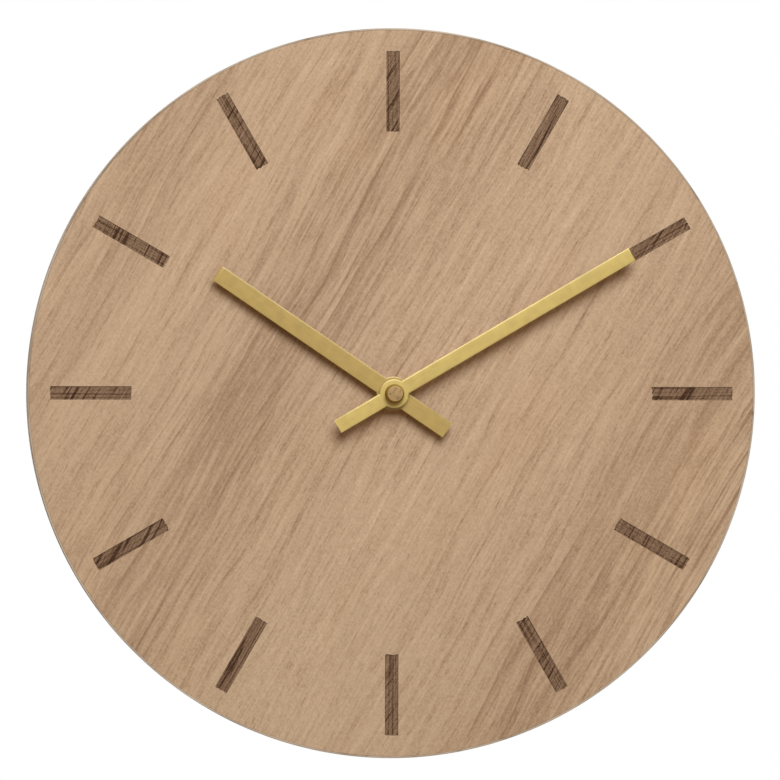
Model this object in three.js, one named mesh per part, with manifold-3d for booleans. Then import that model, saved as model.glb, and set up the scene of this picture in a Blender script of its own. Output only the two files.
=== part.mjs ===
// A wooden wall clock: a veneered disc, two bar hands and the quartz movement behind it.
// It is built in dial coordinates, x right, y up and z from the wall to the viewer,
// with the hand shaft on the z axis and the wall at z = 0, and stood upright at the end.
// All lengths are millimetres.

import * as THREE from 'three';
import { mergeVertices } from 'three/addons/utils/BufferGeometryUtils.js';
import Module from 'manifold-3d';

const wasm = await Module();
wasm.setup();

// Clearances
const glueLine = 0.1;
const seatGap = 0.3;
const pivotGap = 0.15;
const runningGap = 0.2;

// Disc
const discDiameter = 300;
const coreThickness = 10.6;
const veneerThickness = 0.6;
const edgeBandThickness = 0.7;

// Burned bar markers, set in from the rim
const markerCount = 12;
const markerLength = 33.2;
const markerWidth = 5.5;
const markerInset = 9.4;
const markerDepth = 0.4;

// Hands, with angles clockwise from twelve
const hourReach = 87.8;
const hourTail = 26.9;
const hourWidth = 7;
const hourHubDiameter = 13.8;
const hourAngle = 304.2;
const minuteReach = 113.4;
const minuteTail = 26.8;
const minuteWidth = 5.8;
const minuteHubDiameter = 11.8;
const minuteAngle = 59.6;
const handThickness = 1;
const handChamfer = 0.25;
const handClearance = 1.2;
const handSpacing = 2.2;

// Cap pin, standing on the minute hub and tapering to its face
const pinDiameter = 7.7;
const pinHeight = 5.6;
const pinTaperWidth = 0.75;
const pinTaperDepth = 2.2;
const pinCrown = 1.2;

// Shaft fittings
const minuteArborRadius = 1.5;
const hourPipeWall = 0.8;
const hourPipeProud = 0.4;
const bushWall = 1.1;
const bushProud = 0.6;
const bushFlangeRim = 1.6;
const bushFlangeThickness = 0.6;
const nutAcrossFlats = 10.6;
const nutThickness = 2.6;
const centreWasherDiameter = 12.4;
const centreWasherThickness = 0.6;
const rubberWasherDiameter = 22;
const rubberWasherThickness = 1;

// Hanger bracket
const hangerSheet = 0.8;
const hangerWidth = 24;
const hangerDrop = 14;
const hangerTabHeight = 24;
const hangerWallGap = 0.6;
const nailHoleDiameter = 9;
const nailSlotWidth = 4.6;
const nailSlotRise = 8;
const nailHoleBelowTop = 15;

// Battery and its contacts
const batteryLength = 50.5;
const batteryDiameter = 14.5;
const batteryNubDiameter = 5.5;
const batteryNubLength = 1;
const batteryEndRound = 0.8;
const batteryRecess = 0.5;
const contactSheet = 0.4;
const contactWidth = 6;
const contactHalfHeight = 6;
const springRoom = 2.6;
const springFold = 0.9;
const springTip = 5;

// Movement case
const caseWall = 1.2;
const caseCorner = 3;
const coverThickness = 1.4;
const partitionThickness = 1;
const worksMargin = 0.7;
const pillarRadius = 1.5;
const pillarPinRadius = 0.8;
const leftPillarRise = 6;
const bossRadius = 1.4;
const bossHeight = 1.4;
const pivotDepth = 1;

// Train plate
const plateThickness = 1;
const plateMargin = 1;

// Wheels: straight-flanked teeth, in shares of the module and of the tooth pitch
const toothAddendum = 0.9;
const toothDedendum = 1.25;
const toothTipShare = 0.11;
const toothRootShare = 0.26;
const wheelThickness = 0.8;
const levelGap = 0.6;
const pinionProud = 0.15;
const arborRadius = 0.5;
const rotorPinionTeeth = 8;
const intermediateTeeth = 48;
const intermediateModule = 0.25;
const intermediatePinionTeeth = 8;
const secondTeeth = 40;
const secondModule = 0.36;
const secondPinionTeeth = 8;
const thirdTeeth = 60;
const thirdModule = 0.25;
const thirdPinionTeeth = 8;
const centreTeeth = 64;
const cannonTeeth = 10;
const minuteTeeth = 30;
const motionModule = 0.3;
const minutePinionTeeth = 8;
const hourTeeth = 32;
const setTeeth = 12;
const minutePostRadius = 0.4;
const cannonNeckRadius = 1.1;
const secondPivotRadius = 0.35;
const secondPivotLength = 1;

// Directions from one axis to the next, in degrees anticlockwise from three o'clock
const thirdDirection = THREE.MathUtils.degToRad(45);
const intermediateDirection = THREE.MathUtils.degToRad(150);
const rotorDirection = THREE.MathUtils.degToRad(165);
const minuteDirection = THREE.MathUtils.degToRad(-30);
const setDirection = THREE.MathUtils.degToRad(-20);

// Set knob
const knobDiameter = 9;
const knobThickness = 2.8;
const knobKnurls = 20;
const knobKnurlDepth = 0.3;
const knobSocketFloor = 0.8;
const knobRecess = 0.5;
const setArborRadius = 1;

// Stepping motor
const magnetRadius = 3;
const magnetThickness = 3;
const airGap = 0.6;
const statorThickness = 0.8;
const statorRim = 1.1;
const statorArmWidth = 2.4;
const statorShoulder = 1.5;
const coilClearance = 1.6;
const coilLength = 13;
const coilFlange = 1;
const coilFlangeHeight = 7.6;
const windingInset = 0.2;
const bobbinWall = 0.6;
const coreHeight = 2.4;
const coreSheet = 0.8;
const coreLap = 2.4;
const coilPostRadius = 1.1;

// Circuit board
const boardThickness = 1;
const boardDepth = 5.3;
const boardMargin = 1;
const chipRadius = 3;
const chipTopRadius = 2.1;
const chipHeight = 1.2;
const crystalRadius = 1;
const crystalLength = 6;
const boardPostRadius = 1.2;

// Facet counts
const discSides = 96;
const turnedSides = 24;
const smallSides = 12;
const cornerSides = 4;
const weldDistance = 1e-5;

// Finishes
function finish(color, roughness, metalness) {
  return new THREE.MeshStandardMaterial({ color, roughness, metalness });
}
const oak = finish('#bd9e80', 0.7, 0);
const board = finish('#9a7d5e', 0.9, 0);
const satinGold = finish('#cdb274', 0.35, 1);
const darkGold = finish('#b0905c', 0.35, 1);
const brass = finish('#b8954f', 0.35, 1);
const steel = finish('#b5b7b8', 0.35, 1);
const rubber = finish('#1d1d1e', 0.8, 0);
const blackPlastic = finish('#202122', 0.55, 0);
const whitePlastic = finish('#e4e2da', 0.5, 0);
const copper = finish('#b0623a', 0.4, 1);
const magnet = finish('#4a4a4c', 0.5, 1);
const laminate = finish('#2f5a3c', 0.5, 0);
const cellSleeve = finish('#3c4650', 0.45, 0);

// Outlines
function polar(radius, angle) {
  return new THREE.Vector2(radius * Math.cos(angle), radius * Math.sin(angle));
}

function circle(radius, sides, centre = new THREE.Vector2()) {
  const points = [];
  for (let i = 0; i < sides; i++) {
    points.push(polar(radius, (i / sides) * 2 * Math.PI).add(centre));
  }
  return points;
}

function rectangle(left, bottom, right, top) {
  const corners = [[left, bottom], [right, bottom], [right, top], [left, top]];
  return corners.map(([x, y]) => new THREE.Vector2(x, y));
}

function roundedRectangle(left, bottom, right, top, radius) {
  const shape = new THREE.Shape();
  shape.absarc(right - radius, top - radius, radius, 0, Math.PI / 2);
  shape.absarc(left + radius, top - radius, radius, Math.PI / 2, Math.PI);
  shape.absarc(left + radius, bottom + radius, radius, Math.PI, 1.5 * Math.PI);
  shape.absarc(right - radius, bottom + radius, radius, 1.5 * Math.PI, 2 * Math.PI);
  return shape.getPoints(cornerSides);
}

// Four points to a tooth, with the first tooth centred on the phase
function gearOutline(teeth, module, phase) {
  const pitch = (2 * Math.PI) / teeth;
  const tip = tipRadius(teeth, module);
  const root = (teeth / 2 - toothDedendum) * module;
  const points = [];
  for (let i = 0; i < teeth; i++) {
    points.push(polar(root, phase + (i - toothRootShare) * pitch));
    points.push(polar(tip, phase + (i - toothTipShare) * pitch));
    points.push(polar(tip, phase + (i + toothTipShare) * pitch));
    points.push(polar(root, phase + (i + toothRootShare) * pitch));
  }
  return points;
}

function tipRadius(teeth, module) {
  return (teeth / 2 + toothAddendum) * module;
}

function centreDistance(teeth, otherTeeth, module) {
  return ((teeth + otherTeeth) / 2) * module;
}

// The phase at which a gear, lying in the given direction from a wheel,
// has a gap where the wheel has a tooth
function matePhase(wheelTeeth, wheelPhase, gearTeeth, direction) {
  const pitch = (2 * Math.PI) / wheelTeeth;
  const past = THREE.MathUtils.euclideanModulo(direction - wheelPhase, pitch);
  return direction + Math.PI + (past * wheelTeeth) / gearTeeth + Math.PI / gearTeeth;
}

// Geometry helpers
function slab(outline, back, front, holes = []) {
  const shape = outline instanceof THREE.Shape ? outline : new THREE.Shape(outline);
  shape.holes = holes.map((points) => new THREE.Path(points));
  const geometry = new THREE.ExtrudeGeometry(shape, { depth: front - back, bevelEnabled: false });
  return geometry.translate(0, 0, back);
}

// A profile of [radius, height] pairs, from back to front on the outside, turned about the z axis
function turned(profile, sides = turnedSides) {
  const points = profile.map(([radius, height]) => new THREE.Vector2(radius, height));
  return new THREE.LatheGeometry(points, sides).rotateX(Math.PI / 2);
}

function rod(radius, back, front, sides = smallSides, centre = new THREE.Vector2()) {
  return slab(circle(radius, sides, centre), back, front);
}

function ring(outer, inner, back, front, sides = turnedSides) {
  return slab(circle(outer, sides), back, front, [circle(inner, sides)]);
}

function box(left, bottom, back, right, top, front) {
  return slab(rectangle(left, bottom, right, top), back, front);
}

// A strip of sheet bent along a path, its middle line, with mitred corners and its width along z
function bentSheet(path, thickness, width) {
  const normals = [];
  for (let i = 1; i < path.length; i++) {
    const run = path[i].clone().sub(path[i - 1]).normalize();
    normals.push(new THREE.Vector2(-run.y, run.x));
  }
  const left = [];
  const right = [];
  path.forEach((point, i) => {
    const before = normals[Math.max(i - 1, 0)];
    const after = normals[Math.min(i, normals.length - 1)];
    const mitre = before.clone().add(after).multiplyScalar(thickness / 2 / (1 + before.dot(after)));
    left.push(point.clone().add(mitre));
    right.unshift(point.clone().sub(mitre));
  });
  return slab([...left, ...right], -width / 2, width / 2);
}

// Joining and cutting
function solidOf(geometry) {
  const bare = new THREE.BufferGeometry();
  bare.setAttribute('position', geometry.getAttribute('position'));
  bare.setIndex(geometry.getIndex());
  const merged = mergeVertices(bare, weldDistance);
  const corners = merged.getIndex().array;
  const triangles = [];
  for (let i = 0; i < corners.length; i += 3) {
    const [a, b, c] = corners.slice(i, i + 3);
    if (a !== b && b !== c && c !== a) {
      triangles.push(a, b, c);
    }
  }
  return new wasm.Manifold(new wasm.Mesh({
    numProp: 3,
    vertProperties: Float32Array.from(merged.getAttribute('position').array),
    triVerts: Uint32Array.from(triangles),
  }));
}

function geometryOf(solid) {
  const mesh = solid.getMesh();
  const geometry = new THREE.BufferGeometry();
  geometry.setAttribute('position', new THREE.BufferAttribute(mesh.vertProperties, 3));
  geometry.setIndex(new THREE.BufferAttribute(mesh.triVerts, 1));
  geometry.computeVertexNormals();
  return geometry;
}

function joined(joins, cuts = []) {
  let solid = solidOf(joins[0]);
  for (const geometry of joins.slice(1)) {
    solid = solid.add(solidOf(geometry));
  }
  for (const geometry of cuts) {
    solid = solid.subtract(solidOf(geometry));
  }
  return geometryOf(solid);
}

function piece(parent, name, geometry, material) {
  const mesh = new THREE.Mesh(geometry, material);
  mesh.name = name;
  parent.add(mesh);
  return mesh;
}

// Axes of the movement, in the plane of the dial
const thirdDistance = centreDistance(thirdTeeth, secondPinionTeeth, thirdModule);
const centreModule = (2 * thirdDistance) / (centreTeeth + thirdPinionTeeth);
const motionDistance = centreDistance(minuteTeeth, cannonTeeth, motionModule);
const hourModule = (2 * motionDistance) / (hourTeeth + minutePinionTeeth);
const thirdAxis = polar(thirdDistance, thirdDirection);
const intermediateDistance = centreDistance(secondTeeth, intermediatePinionTeeth, secondModule);
const intermediateAxis = polar(intermediateDistance, intermediateDirection);
const rotorDistance = centreDistance(intermediateTeeth, rotorPinionTeeth, intermediateModule);
const rotorAxis = polar(rotorDistance, rotorDirection).add(intermediateAxis);
const minuteAxis = polar(motionDistance, minuteDirection);
const setDistance = centreDistance(minuteTeeth, setTeeth, motionModule);
const setAxis = polar(setDistance, setDirection).add(minuteAxis);

// Tooth phases, so that every pair is in mesh at rest
const thirdPhase = thirdDirection + Math.PI;
const secondPinionPhase = matePhase(thirdTeeth, thirdPhase, secondPinionTeeth, thirdDirection + Math.PI);
const centrePhase = thirdDirection;
const thirdPinionPhase = matePhase(centreTeeth, centrePhase, thirdPinionTeeth, thirdDirection);
const secondPhase = intermediateDirection;
const intermediatePinionPhase = matePhase(
  secondTeeth, secondPhase, intermediatePinionTeeth, intermediateDirection,
);
const intermediatePhase = rotorDirection;
const rotorPinionPhase = matePhase(intermediateTeeth, intermediatePhase, rotorPinionTeeth, rotorDirection);
const minutePhase = minuteDirection + Math.PI;
const cannonPhase = matePhase(minuteTeeth, minutePhase, cannonTeeth, minuteDirection + Math.PI);
const setPhase = matePhase(minuteTeeth, minutePhase, setTeeth, setDirection);
const hourPhase = minuteDirection;
const minutePinionPhase = matePhase(hourTeeth, hourPhase, minutePinionTeeth, minuteDirection);

// The wheel levels, counted backwards from the hour wheel
const hourLevel = 0;
const motionLevel = 1;
const centreLevel = 2;
const thirdLevel = 3;
const secondLevel = 4;
const intermediateLevel = 5;
const levelPitch = levelGap + wheelThickness;

// Depths, from the wall forwards: the battery or the wheels set how deep the case is
const wallBack = coverThickness + seatGap;
const batteryRoom = batteryRecess + batteryDiameter + seatGap;
const knobRoom = knobRecess + knobThickness + seatGap;
const wheelRoom = plateThickness + levelGap + (intermediateLevel + 1) * levelPitch;
const frontInner = Math.max(batteryRoom, knobRoom + wheelRoom + bushFlangeThickness + seatGap);
const caseFront = frontInner + caseWall;
const flangeFront = frontInner - seatGap;
const flangeBack = flangeFront - bushFlangeThickness;

function levelBack(count) {
  return flangeBack - (count + 1) * levelPitch;
}

function levelFront(count) {
  return levelBack(count) + wheelThickness;
}

const plateFront = levelBack(intermediateLevel) - levelGap;
const plateBack = plateFront - plateThickness;
const knobFront = plateBack - seatGap;
const knobBack = knobFront - knobThickness;
const bossBack = frontInner - bossHeight;
const arborFront = bossBack + pivotDepth - seatGap;
const arborBack = plateBack + pivotGap;

// Depths in front of the case
const hangerBack = caseFront + seatGap;
const hangerFront = hangerBack + hangerSheet;
const rubberBack = hangerFront + glueLine;
const rubberFront = rubberBack + rubberWasherThickness;
const discBack = rubberFront + glueLine;
const coreBack = discBack + veneerThickness + glueLine;
const faceBack = coreBack + coreThickness + glueLine;
const discFront = faceBack + veneerThickness;
const centreWasherBack = discFront + glueLine;
const centreWasherFront = centreWasherBack + centreWasherThickness;
const nutBack = centreWasherFront + glueLine;
const nutFront = nutBack + nutThickness;
const bushFront = nutFront + bushProud;
const hourHandBack = bushFront + handClearance;
const hourHandFront = hourHandBack + handThickness;
const hourPipeFront = hourHandFront + hourPipeProud;
const minuteHandBack = hourHandFront + handSpacing;
const minuteHandFront = minuteHandBack + handThickness;
const pinBack = minuteHandFront + glueLine;
const pinFront = minuteHandFront + pinHeight;
const minuteArborFront = pinFront - pinCrown - seatGap;

// Radii of the nested shafts
const hourPipeInner = minuteArborRadius + runningGap;
const hourPipeOuter = hourPipeInner + hourPipeWall;
const bushInner = hourPipeOuter + runningGap;
const bushOuter = bushInner + bushWall;
const bushHole = bushOuter + seatGap;

// Outline of the case: the battery sets its width, the motor its top and the knob its battery wall
const knobRadius = knobDiameter / 2;
const batteryRadius = batteryDiameter / 2;
const positiveRoom = contactSheet + 2 * seatGap;
const innerHalfWidth = (batteryLength + positiveRoom + springRoom) / 2;
const caseHalfWidth = innerHalfWidth + caseWall;
const statorHalf = magnetRadius + airGap + statorRim;
const coilRise = statorHalf + coilClearance + coilFlangeHeight / 2;
const coilLine = rotorAxis.y + coilRise;
const innerTop = coilLine + coilFlangeHeight / 2 + worksMargin;
const caseTop = innerTop + caseWall;
const lowestWheel = Math.min(
  setAxis.y - knobRadius,
  minuteAxis.y - tipRadius(minuteTeeth, motionModule),
  -tipRadius(centreTeeth, centreModule),
  -tipRadius(secondTeeth, secondModule),
);
const stripTop = lowestWheel - seatGap;
const stripLine = stripTop - contactSheet / 2;
const partitionTop = stripTop - contactSheet - seatGap;
const partitionBottom = partitionTop - partitionThickness;
const batteryLine = partitionBottom - seatGap - batteryRadius;
const innerBottom = batteryLine - batteryRadius - seatGap;
const caseBottom = innerBottom - caseWall;
const batteryDepth = batteryRecess + batteryRadius;
const batteryRight = innerHalfWidth - positiveRoom;
const batteryLeft = batteryRight - batteryLength;

// Circuit board, in the space to the right of the wheels
const boardLeft = Math.max(
  thirdAxis.x + tipRadius(thirdTeeth, thirdModule),
  setAxis.x + tipRadius(setTeeth, motionModule),
) + boardMargin;
const boardRight = innerHalfWidth - 2 * seatGap - contactSheet;
const boardTop = innerTop - boardMargin;
const boardFront = frontInner - boardDepth;
const boardBack = boardFront - boardThickness;

// Pillars that carry the train plate
const leftPillar = new THREE.Vector2(
  rotorAxis.x - statorHalf - pillarRadius,
  partitionTop + leftPillarRise,
);
const topPillar = new THREE.Vector2(
  boardLeft - boardMargin - pillarRadius,
  innerTop - 2 * pillarRadius,
);
const rightPillar = new THREE.Vector2(
  setAxis.x + knobRadius + pillarPinRadius + boardMargin,
  stripTop + boardMargin + pillarRadius,
);
const pillars = [leftPillar, topPillar, rightPillar];

const clock = new THREE.Group();
const disc = new THREE.Group();
const movement = new THREE.Group();
const works = new THREE.Group();
clock.add(disc, movement);
movement.add(works);

// Disc: core, two veneers and an edge band that hides their edges
const bandOuter = discDiameter / 2;
const bandInner = bandOuter - edgeBandThickness;
const boardRadius = bandInner - glueLine;

function markerCuts() {
  const outerEnd = bandOuter - markerInset;
  const floor = discFront - markerDepth;
  const cuts = [];
  for (let i = 0; i < markerCount; i++) {
    const bar = box(
      -markerWidth / 2, outerEnd - markerLength, floor,
      markerWidth / 2, outerEnd, discFront + markerDepth,
    );
    cuts.push(bar.rotateZ((-i / markerCount) * 2 * Math.PI));
  }
  return cuts;
}

function discPlate(back, front) {
  return slab(circle(boardRadius, discSides), back, front, [circle(bushHole, turnedSides)]);
}
piece(disc, 'disc_core', discPlate(coreBack, coreBack + coreThickness), board);
piece(disc, 'back_veneer', discPlate(discBack, discBack + veneerThickness), oak);
piece(disc, 'front_veneer', joined([discPlate(faceBack, discFront)], markerCuts()), oak);
piece(disc, 'edge_band', ring(bandOuter, bandInner, discBack, discFront, discSides), oak);

// Fittings on the threaded bush
function hexagon(acrossFlats) {
  return circle(acrossFlats / 2 / Math.cos(Math.PI / 6), 6);
}
piece(movement, 'rubber_washer',
  ring(rubberWasherDiameter / 2, bushHole, rubberBack, rubberFront), rubber);
piece(movement, 'centre_washer',
  ring(centreWasherDiameter / 2, bushHole, centreWasherBack, centreWasherFront), brass);
piece(movement, 'centre_nut',
  slab(hexagon(nutAcrossFlats), nutBack, nutFront, [circle(bushHole, turnedSides)]), brass);
piece(movement, 'threaded_bush', turned([
  [bushInner, flangeBack],
  [bushOuter + bushFlangeRim, flangeBack],
  [bushOuter + bushFlangeRim, flangeFront],
  [bushOuter, flangeFront],
  [bushOuter, bushFront],
  [bushInner, bushFront],
  [bushInner, flangeBack],
]), brass);

// Hanger: a plate behind the disc, a shelf over the case and a tab at the wall with a keyhole for the nail
function nailKeyhole(holeLine) {
  const shape = new THREE.Shape();
  const halfSlot = nailSlotWidth / 2;
  const holeRadius = nailHoleDiameter / 2;
  const mouth = Math.acos(halfSlot / holeRadius);
  shape.absarc(0, holeLine + nailSlotRise, halfSlot, 0, Math.PI);
  shape.absarc(0, holeLine, holeRadius, Math.PI - mouth, 2 * Math.PI + mouth);
  return shape;
}

function hangerBracket() {
  const plateLine = hangerBack + hangerSheet / 2;
  const shelfLine = caseTop + seatGap + hangerSheet / 2;
  const tabLine = hangerWallGap + hangerSheet / 2;
  const tabTop = shelfLine + hangerTabHeight;
  const bends = [[plateLine, -hangerDrop], [plateLine, shelfLine], [tabLine, shelfLine], [tabLine, tabTop]];
  const path = bends.map(([depth, height]) => new THREE.Vector2(depth, height));
  const sheet = bentSheet(path, hangerSheet, hangerWidth).rotateY(-Math.PI / 2);
  const bushCut = rod(bushHole, hangerBack - hangerSheet, hangerFront + hangerSheet, turnedSides);
  const keyhole = slab(nailKeyhole(tabTop - nailHoleBelowTop), -hangerWallGap, tabLine + hangerSheet);
  return joined([sheet], [bushCut, keyhole]);
}
piece(movement, 'hanger_bracket', hangerBracket(), steel);

// Movement case
function frontCase() {
  const outline = roundedRectangle(-caseHalfWidth, caseBottom, caseHalfWidth, caseTop, caseCorner);
  const hollow = box(-innerHalfWidth, innerBottom, 0, innerHalfWidth, innerTop, frontInner);
  const partitionHalf = innerHalfWidth - contactSheet - 2 * seatGap;
  const root = frontInner + caseWall / 2;
  const shell = joined([slab(outline, wallBack, caseFront)], [hollow]);
  const joins = [shell, box(-partitionHalf, partitionBottom, wallBack, partitionHalf, partitionTop, root)];
  const cuts = [rod(bushHole, flangeFront, caseFront + caseWall, turnedSides)];
  for (const centre of pillars) {
    joins.push(rod(pillarRadius, plateFront + seatGap, root, smallSides, centre));
    joins.push(rod(pillarPinRadius, wallBack, root, smallSides, centre));
  }
  for (const centre of [thirdAxis, intermediateAxis, rotorAxis, setAxis]) {
    joins.push(rod(bossRadius + pivotGap, bossBack, root, smallSides, centre));
    cuts.push(rod(pivotRadius(centre) + pivotGap, wallBack, bossBack + pivotDepth, smallSides, centre));
  }
  joins.push(rod(minutePostRadius, levelBack(motionLevel), root, smallSides, minuteAxis));
  for (const side of [-1, 1]) {
    const centre = new THREE.Vector2(rotorAxis.x + side * coilPostOffset, coilLine);
    joins.push(rod(coilPostRadius, coreFront + seatGap, root, smallSides, centre));
  }
  for (const centre of boardPosts) {
    joins.push(rod(boardPostRadius, boardFront + seatGap, root, smallSides, centre));
  }
  return joined(joins, cuts);
}

function pivotRadius(centre) {
  return centre === setAxis ? setArborRadius : arborRadius;
}

function rearCover() {
  const outline = roundedRectangle(-caseHalfWidth, caseBottom, caseHalfWidth, caseTop, caseCorner);
  const opening = rectangle(
    batteryLeft - seatGap, batteryLine - batteryRadius - seatGap,
    batteryRight + seatGap, batteryLine + batteryRadius + seatGap,
  );
  const knobHole = circle(knobRadius + seatGap, turnedSides, setAxis);
  return slab(outline, 0, coverThickness, [opening, knobHole]);
}

function trainPlate() {
  const left = leftPillar.x - pillarRadius - plateMargin;
  const right = rightPillar.x + pillarRadius + plateMargin;
  const bottom = stripTop + plateMargin / 2;
  const notch = new THREE.Vector2(rotorAxis.x + coreHalfLength + plateMargin, rotorAxis.y + statorHalf);
  const corners = [[left, bottom], [right, bottom], [right, innerTop - plateMargin / 2],
    [notch.x, innerTop - plateMargin / 2], [notch.x, notch.y], [left, notch.y]];
  const outline = corners.map(([x, y]) => new THREE.Vector2(x, y));
  const holes = pillars.map((centre) => circle(pillarPinRadius + seatGap, smallSides, centre));
  holes.push(circle(arborRadius + pivotGap, smallSides));
  for (const centre of [thirdAxis, intermediateAxis, rotorAxis, setAxis]) {
    holes.push(circle(pivotRadius(centre) + pivotGap, smallSides, centre));
  }
  return slab(outline, plateBack, plateFront, holes);
}

// Stepping motor: the magnet turns in the stator's round gap, and the core closes the loop through the coil
const magnetBack = levelBack(secondLevel);
const statorBack = magnetBack + (magnetThickness - statorThickness) / 2;
const statorFront = statorBack + statorThickness;
const coreBackFace = statorFront + glueLine;
const coreFront = coreBackFace + coreSheet;
const coilDepth = coreBackFace + coreSheet / 2;
const coreHalfLength = coilLength / 2 + seatGap + coreLap;
const coilPostOffset = coilLength / 2 + seatGap + coreLap / 2;

function stator() {
  const armOuter = coreHalfLength;
  const armInner = coreHalfLength - coreLap;
  const armTop = coilRise + coreHeight / 2;
  const armFoot = coilRise - coilFlangeHeight / 2 - seatGap;
  const half = [
    [statorHalf, -statorHalf], [statorHalf, statorShoulder],
    [armOuter, armFoot - statorArmWidth], [armOuter, armTop], [armInner, armTop], [armInner, armFoot],
    [statorHalf - statorArmWidth, statorHalf],
  ];
  const mirrored = half.map(([x, y]) => [-x, y]).reverse();
  const outline = [...half, ...mirrored].map(([x, y]) => new THREE.Vector2(x, y));
  return slab(outline, statorBack, statorFront, [circle(magnetRadius + airGap, turnedSides)]);
}

function coilBobbin() {
  const halfHole = [coreHeight / 2 + seatGap, coreSheet / 2 + seatGap];
  const [tubeY, tubeZ] = halfHole.map((half) => half + bobbinWall);
  const [holeY, holeZ] = halfHole;
  const halfLength = coilLength / 2;
  const halfFlange = coilFlangeHeight / 2;
  const flanges = [-halfLength, halfLength - coilFlange].map((start) => (
    box(start, -halfFlange, -halfFlange, start + coilFlange, halfFlange, halfFlange)
  ));
  const tube = box(-halfLength, -tubeY, -tubeZ, halfLength, tubeY, tubeZ);
  const passage = box(-coilLength, -holeY, -holeZ, coilLength, holeY, holeZ);
  return joined([tube, ...flanges], [passage]);
}

function coilWinding() {
  const halfLength = coilLength / 2 - coilFlange - seatGap;
  const tubeY = coreHeight / 2 + 2 * seatGap + bobbinWall;
  const tubeZ = coreSheet / 2 + 2 * seatGap + bobbinWall;
  const radius = coilFlangeHeight / 2 - windingInset;
  const wire = rod(radius, -halfLength, halfLength, turnedSides).rotateY(Math.PI / 2);
  const passage = box(-coilLength, -tubeY, -tubeZ, coilLength, tubeY, tubeZ);
  return joined([wire], [passage]);
}

// Circuit board, cut back beside the right pillar, with its posts and parts
const boardStep = new THREE.Vector2(
  rightPillar.x + pillarRadius + boardMargin,
  rightPillar.y + pillarRadius + boardMargin,
);
const boardMiddle = new THREE.Vector2((boardLeft + boardRight) / 2, (boardStep.y + boardTop) / 2);
const boardPosts = [
  new THREE.Vector2(boardLeft + 2 * boardPostRadius, boardTop - 2 * boardPostRadius),
  new THREE.Vector2(boardRight - 2 * boardPostRadius, boardStep.y + 2 * boardPostRadius),
];

function circuitBoard() {
  const bottom = stripTop + seatGap;
  const corners = [[boardLeft, boardStep.y], [boardStep.x, boardStep.y], [boardStep.x, bottom],
    [boardRight, bottom], [boardRight, boardTop], [boardLeft, boardTop]];
  return slab(corners.map(([x, y]) => new THREE.Vector2(x, y)), boardBack, boardFront);
}

function clockChip() {
  const face = boardBack - glueLine;
  const top = face - chipHeight;
  return turned([[0, top], [chipTopRadius, top], [chipRadius, face], [0, face]]);
}

function quartzCrystal() {
  return rod(crystalRadius, -crystalLength / 2, crystalLength / 2).rotateX(Math.PI / 2);
}

// Battery contacts: a plain strip at the right end
// and a folded leaf at the left that runs over to the board
function positiveContact() {
  const line = innerHalfWidth - seatGap - contactSheet / 2;
  const ends = [batteryLine - contactHalfHeight, boardStep.y + boardMargin];
  const path = ends.map((height) => new THREE.Vector2(line, height));
  return bentSheet(path, contactSheet, contactWidth);
}

function negativeContact() {
  const line = -innerHalfWidth + seatGap + contactSheet / 2;
  const tongue = batteryLeft - seatGap - contactSheet / 2;
  const fold = line + springFold;
  const bends = [[boardRight, stripLine], [line, stripLine], [line, batteryLine - contactHalfHeight],
    [fold, batteryLine - contactHalfHeight], [tongue, batteryLine], [fold, batteryLine + springTip]];
  const path = bends.map(([x, y]) => new THREE.Vector2(x, y));
  return bentSheet(path, contactSheet, contactWidth);
}

function batteryCell() {
  const shoulder = batteryLength - batteryNubLength;
  const round = batteryRadius - batteryEndRound;
  const nub = batteryNubDiameter / 2;
  return turned([
    [0, 0], [round, 0], [batteryRadius, batteryEndRound], [batteryRadius, shoulder - batteryEndRound],
    [round, shoulder], [nub, shoulder], [nub, batteryLength], [0, batteryLength],
  ]).rotateY(Math.PI / 2);
}

piece(movement, 'front_case', frontCase(), blackPlastic);
piece(movement, 'rear_cover', rearCover(), blackPlastic);
piece(works, 'train_plate', trainPlate(), whitePlastic);
piece(works, 'stator', stator(), steel).position.set(rotorAxis.x, rotorAxis.y, 0);
const coreStrip = box(
  -coreHalfLength, -coreHeight / 2, coreBackFace,
  coreHalfLength, coreHeight / 2, coreFront,
);
piece(works, 'coil_core', coreStrip, steel).position.set(rotorAxis.x, coilLine, 0);
piece(works, 'coil_bobbin', coilBobbin(), whitePlastic).position.set(rotorAxis.x, coilLine, coilDepth);
piece(works, 'coil_winding', coilWinding(), copper).position.set(rotorAxis.x, coilLine, coilDepth);
piece(works, 'circuit_board', circuitBoard(), laminate);
piece(works, 'clock_chip', clockChip(), blackPlastic).position.set(boardMiddle.x, boardMiddle.y, 0);
const crystalDepth = boardBack - glueLine - crystalRadius;
const crystalHeight = boardMiddle.y + chipRadius + boardMargin + crystalLength / 2;
piece(works, 'quartz_crystal', quartzCrystal(), steel)
  .position.set(boardMiddle.x, crystalHeight, crystalDepth);
piece(works, 'positive_contact', positiveContact(), steel).position.set(0, 0, batteryDepth);
piece(works, 'negative_contact', negativeContact(), steel).position.set(0, 0, batteryDepth);
piece(movement, 'battery_cell', batteryCell(), cellSleeve)
  .position.set(batteryLeft, batteryLine, batteryDepth);

// A wheel or pinion at a level of the stack, its faces proud of the level by the given amount
function toothed(teeth, module, phase, level, proud = 0) {
  return slab(gearOutline(teeth, module, phase), levelBack(level) - proud, levelFront(level) + proud);
}

function placed(name, geometry, material, axis) {
  piece(works, name, geometry, material).position.set(axis.x, axis.y, 0);
}

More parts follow.
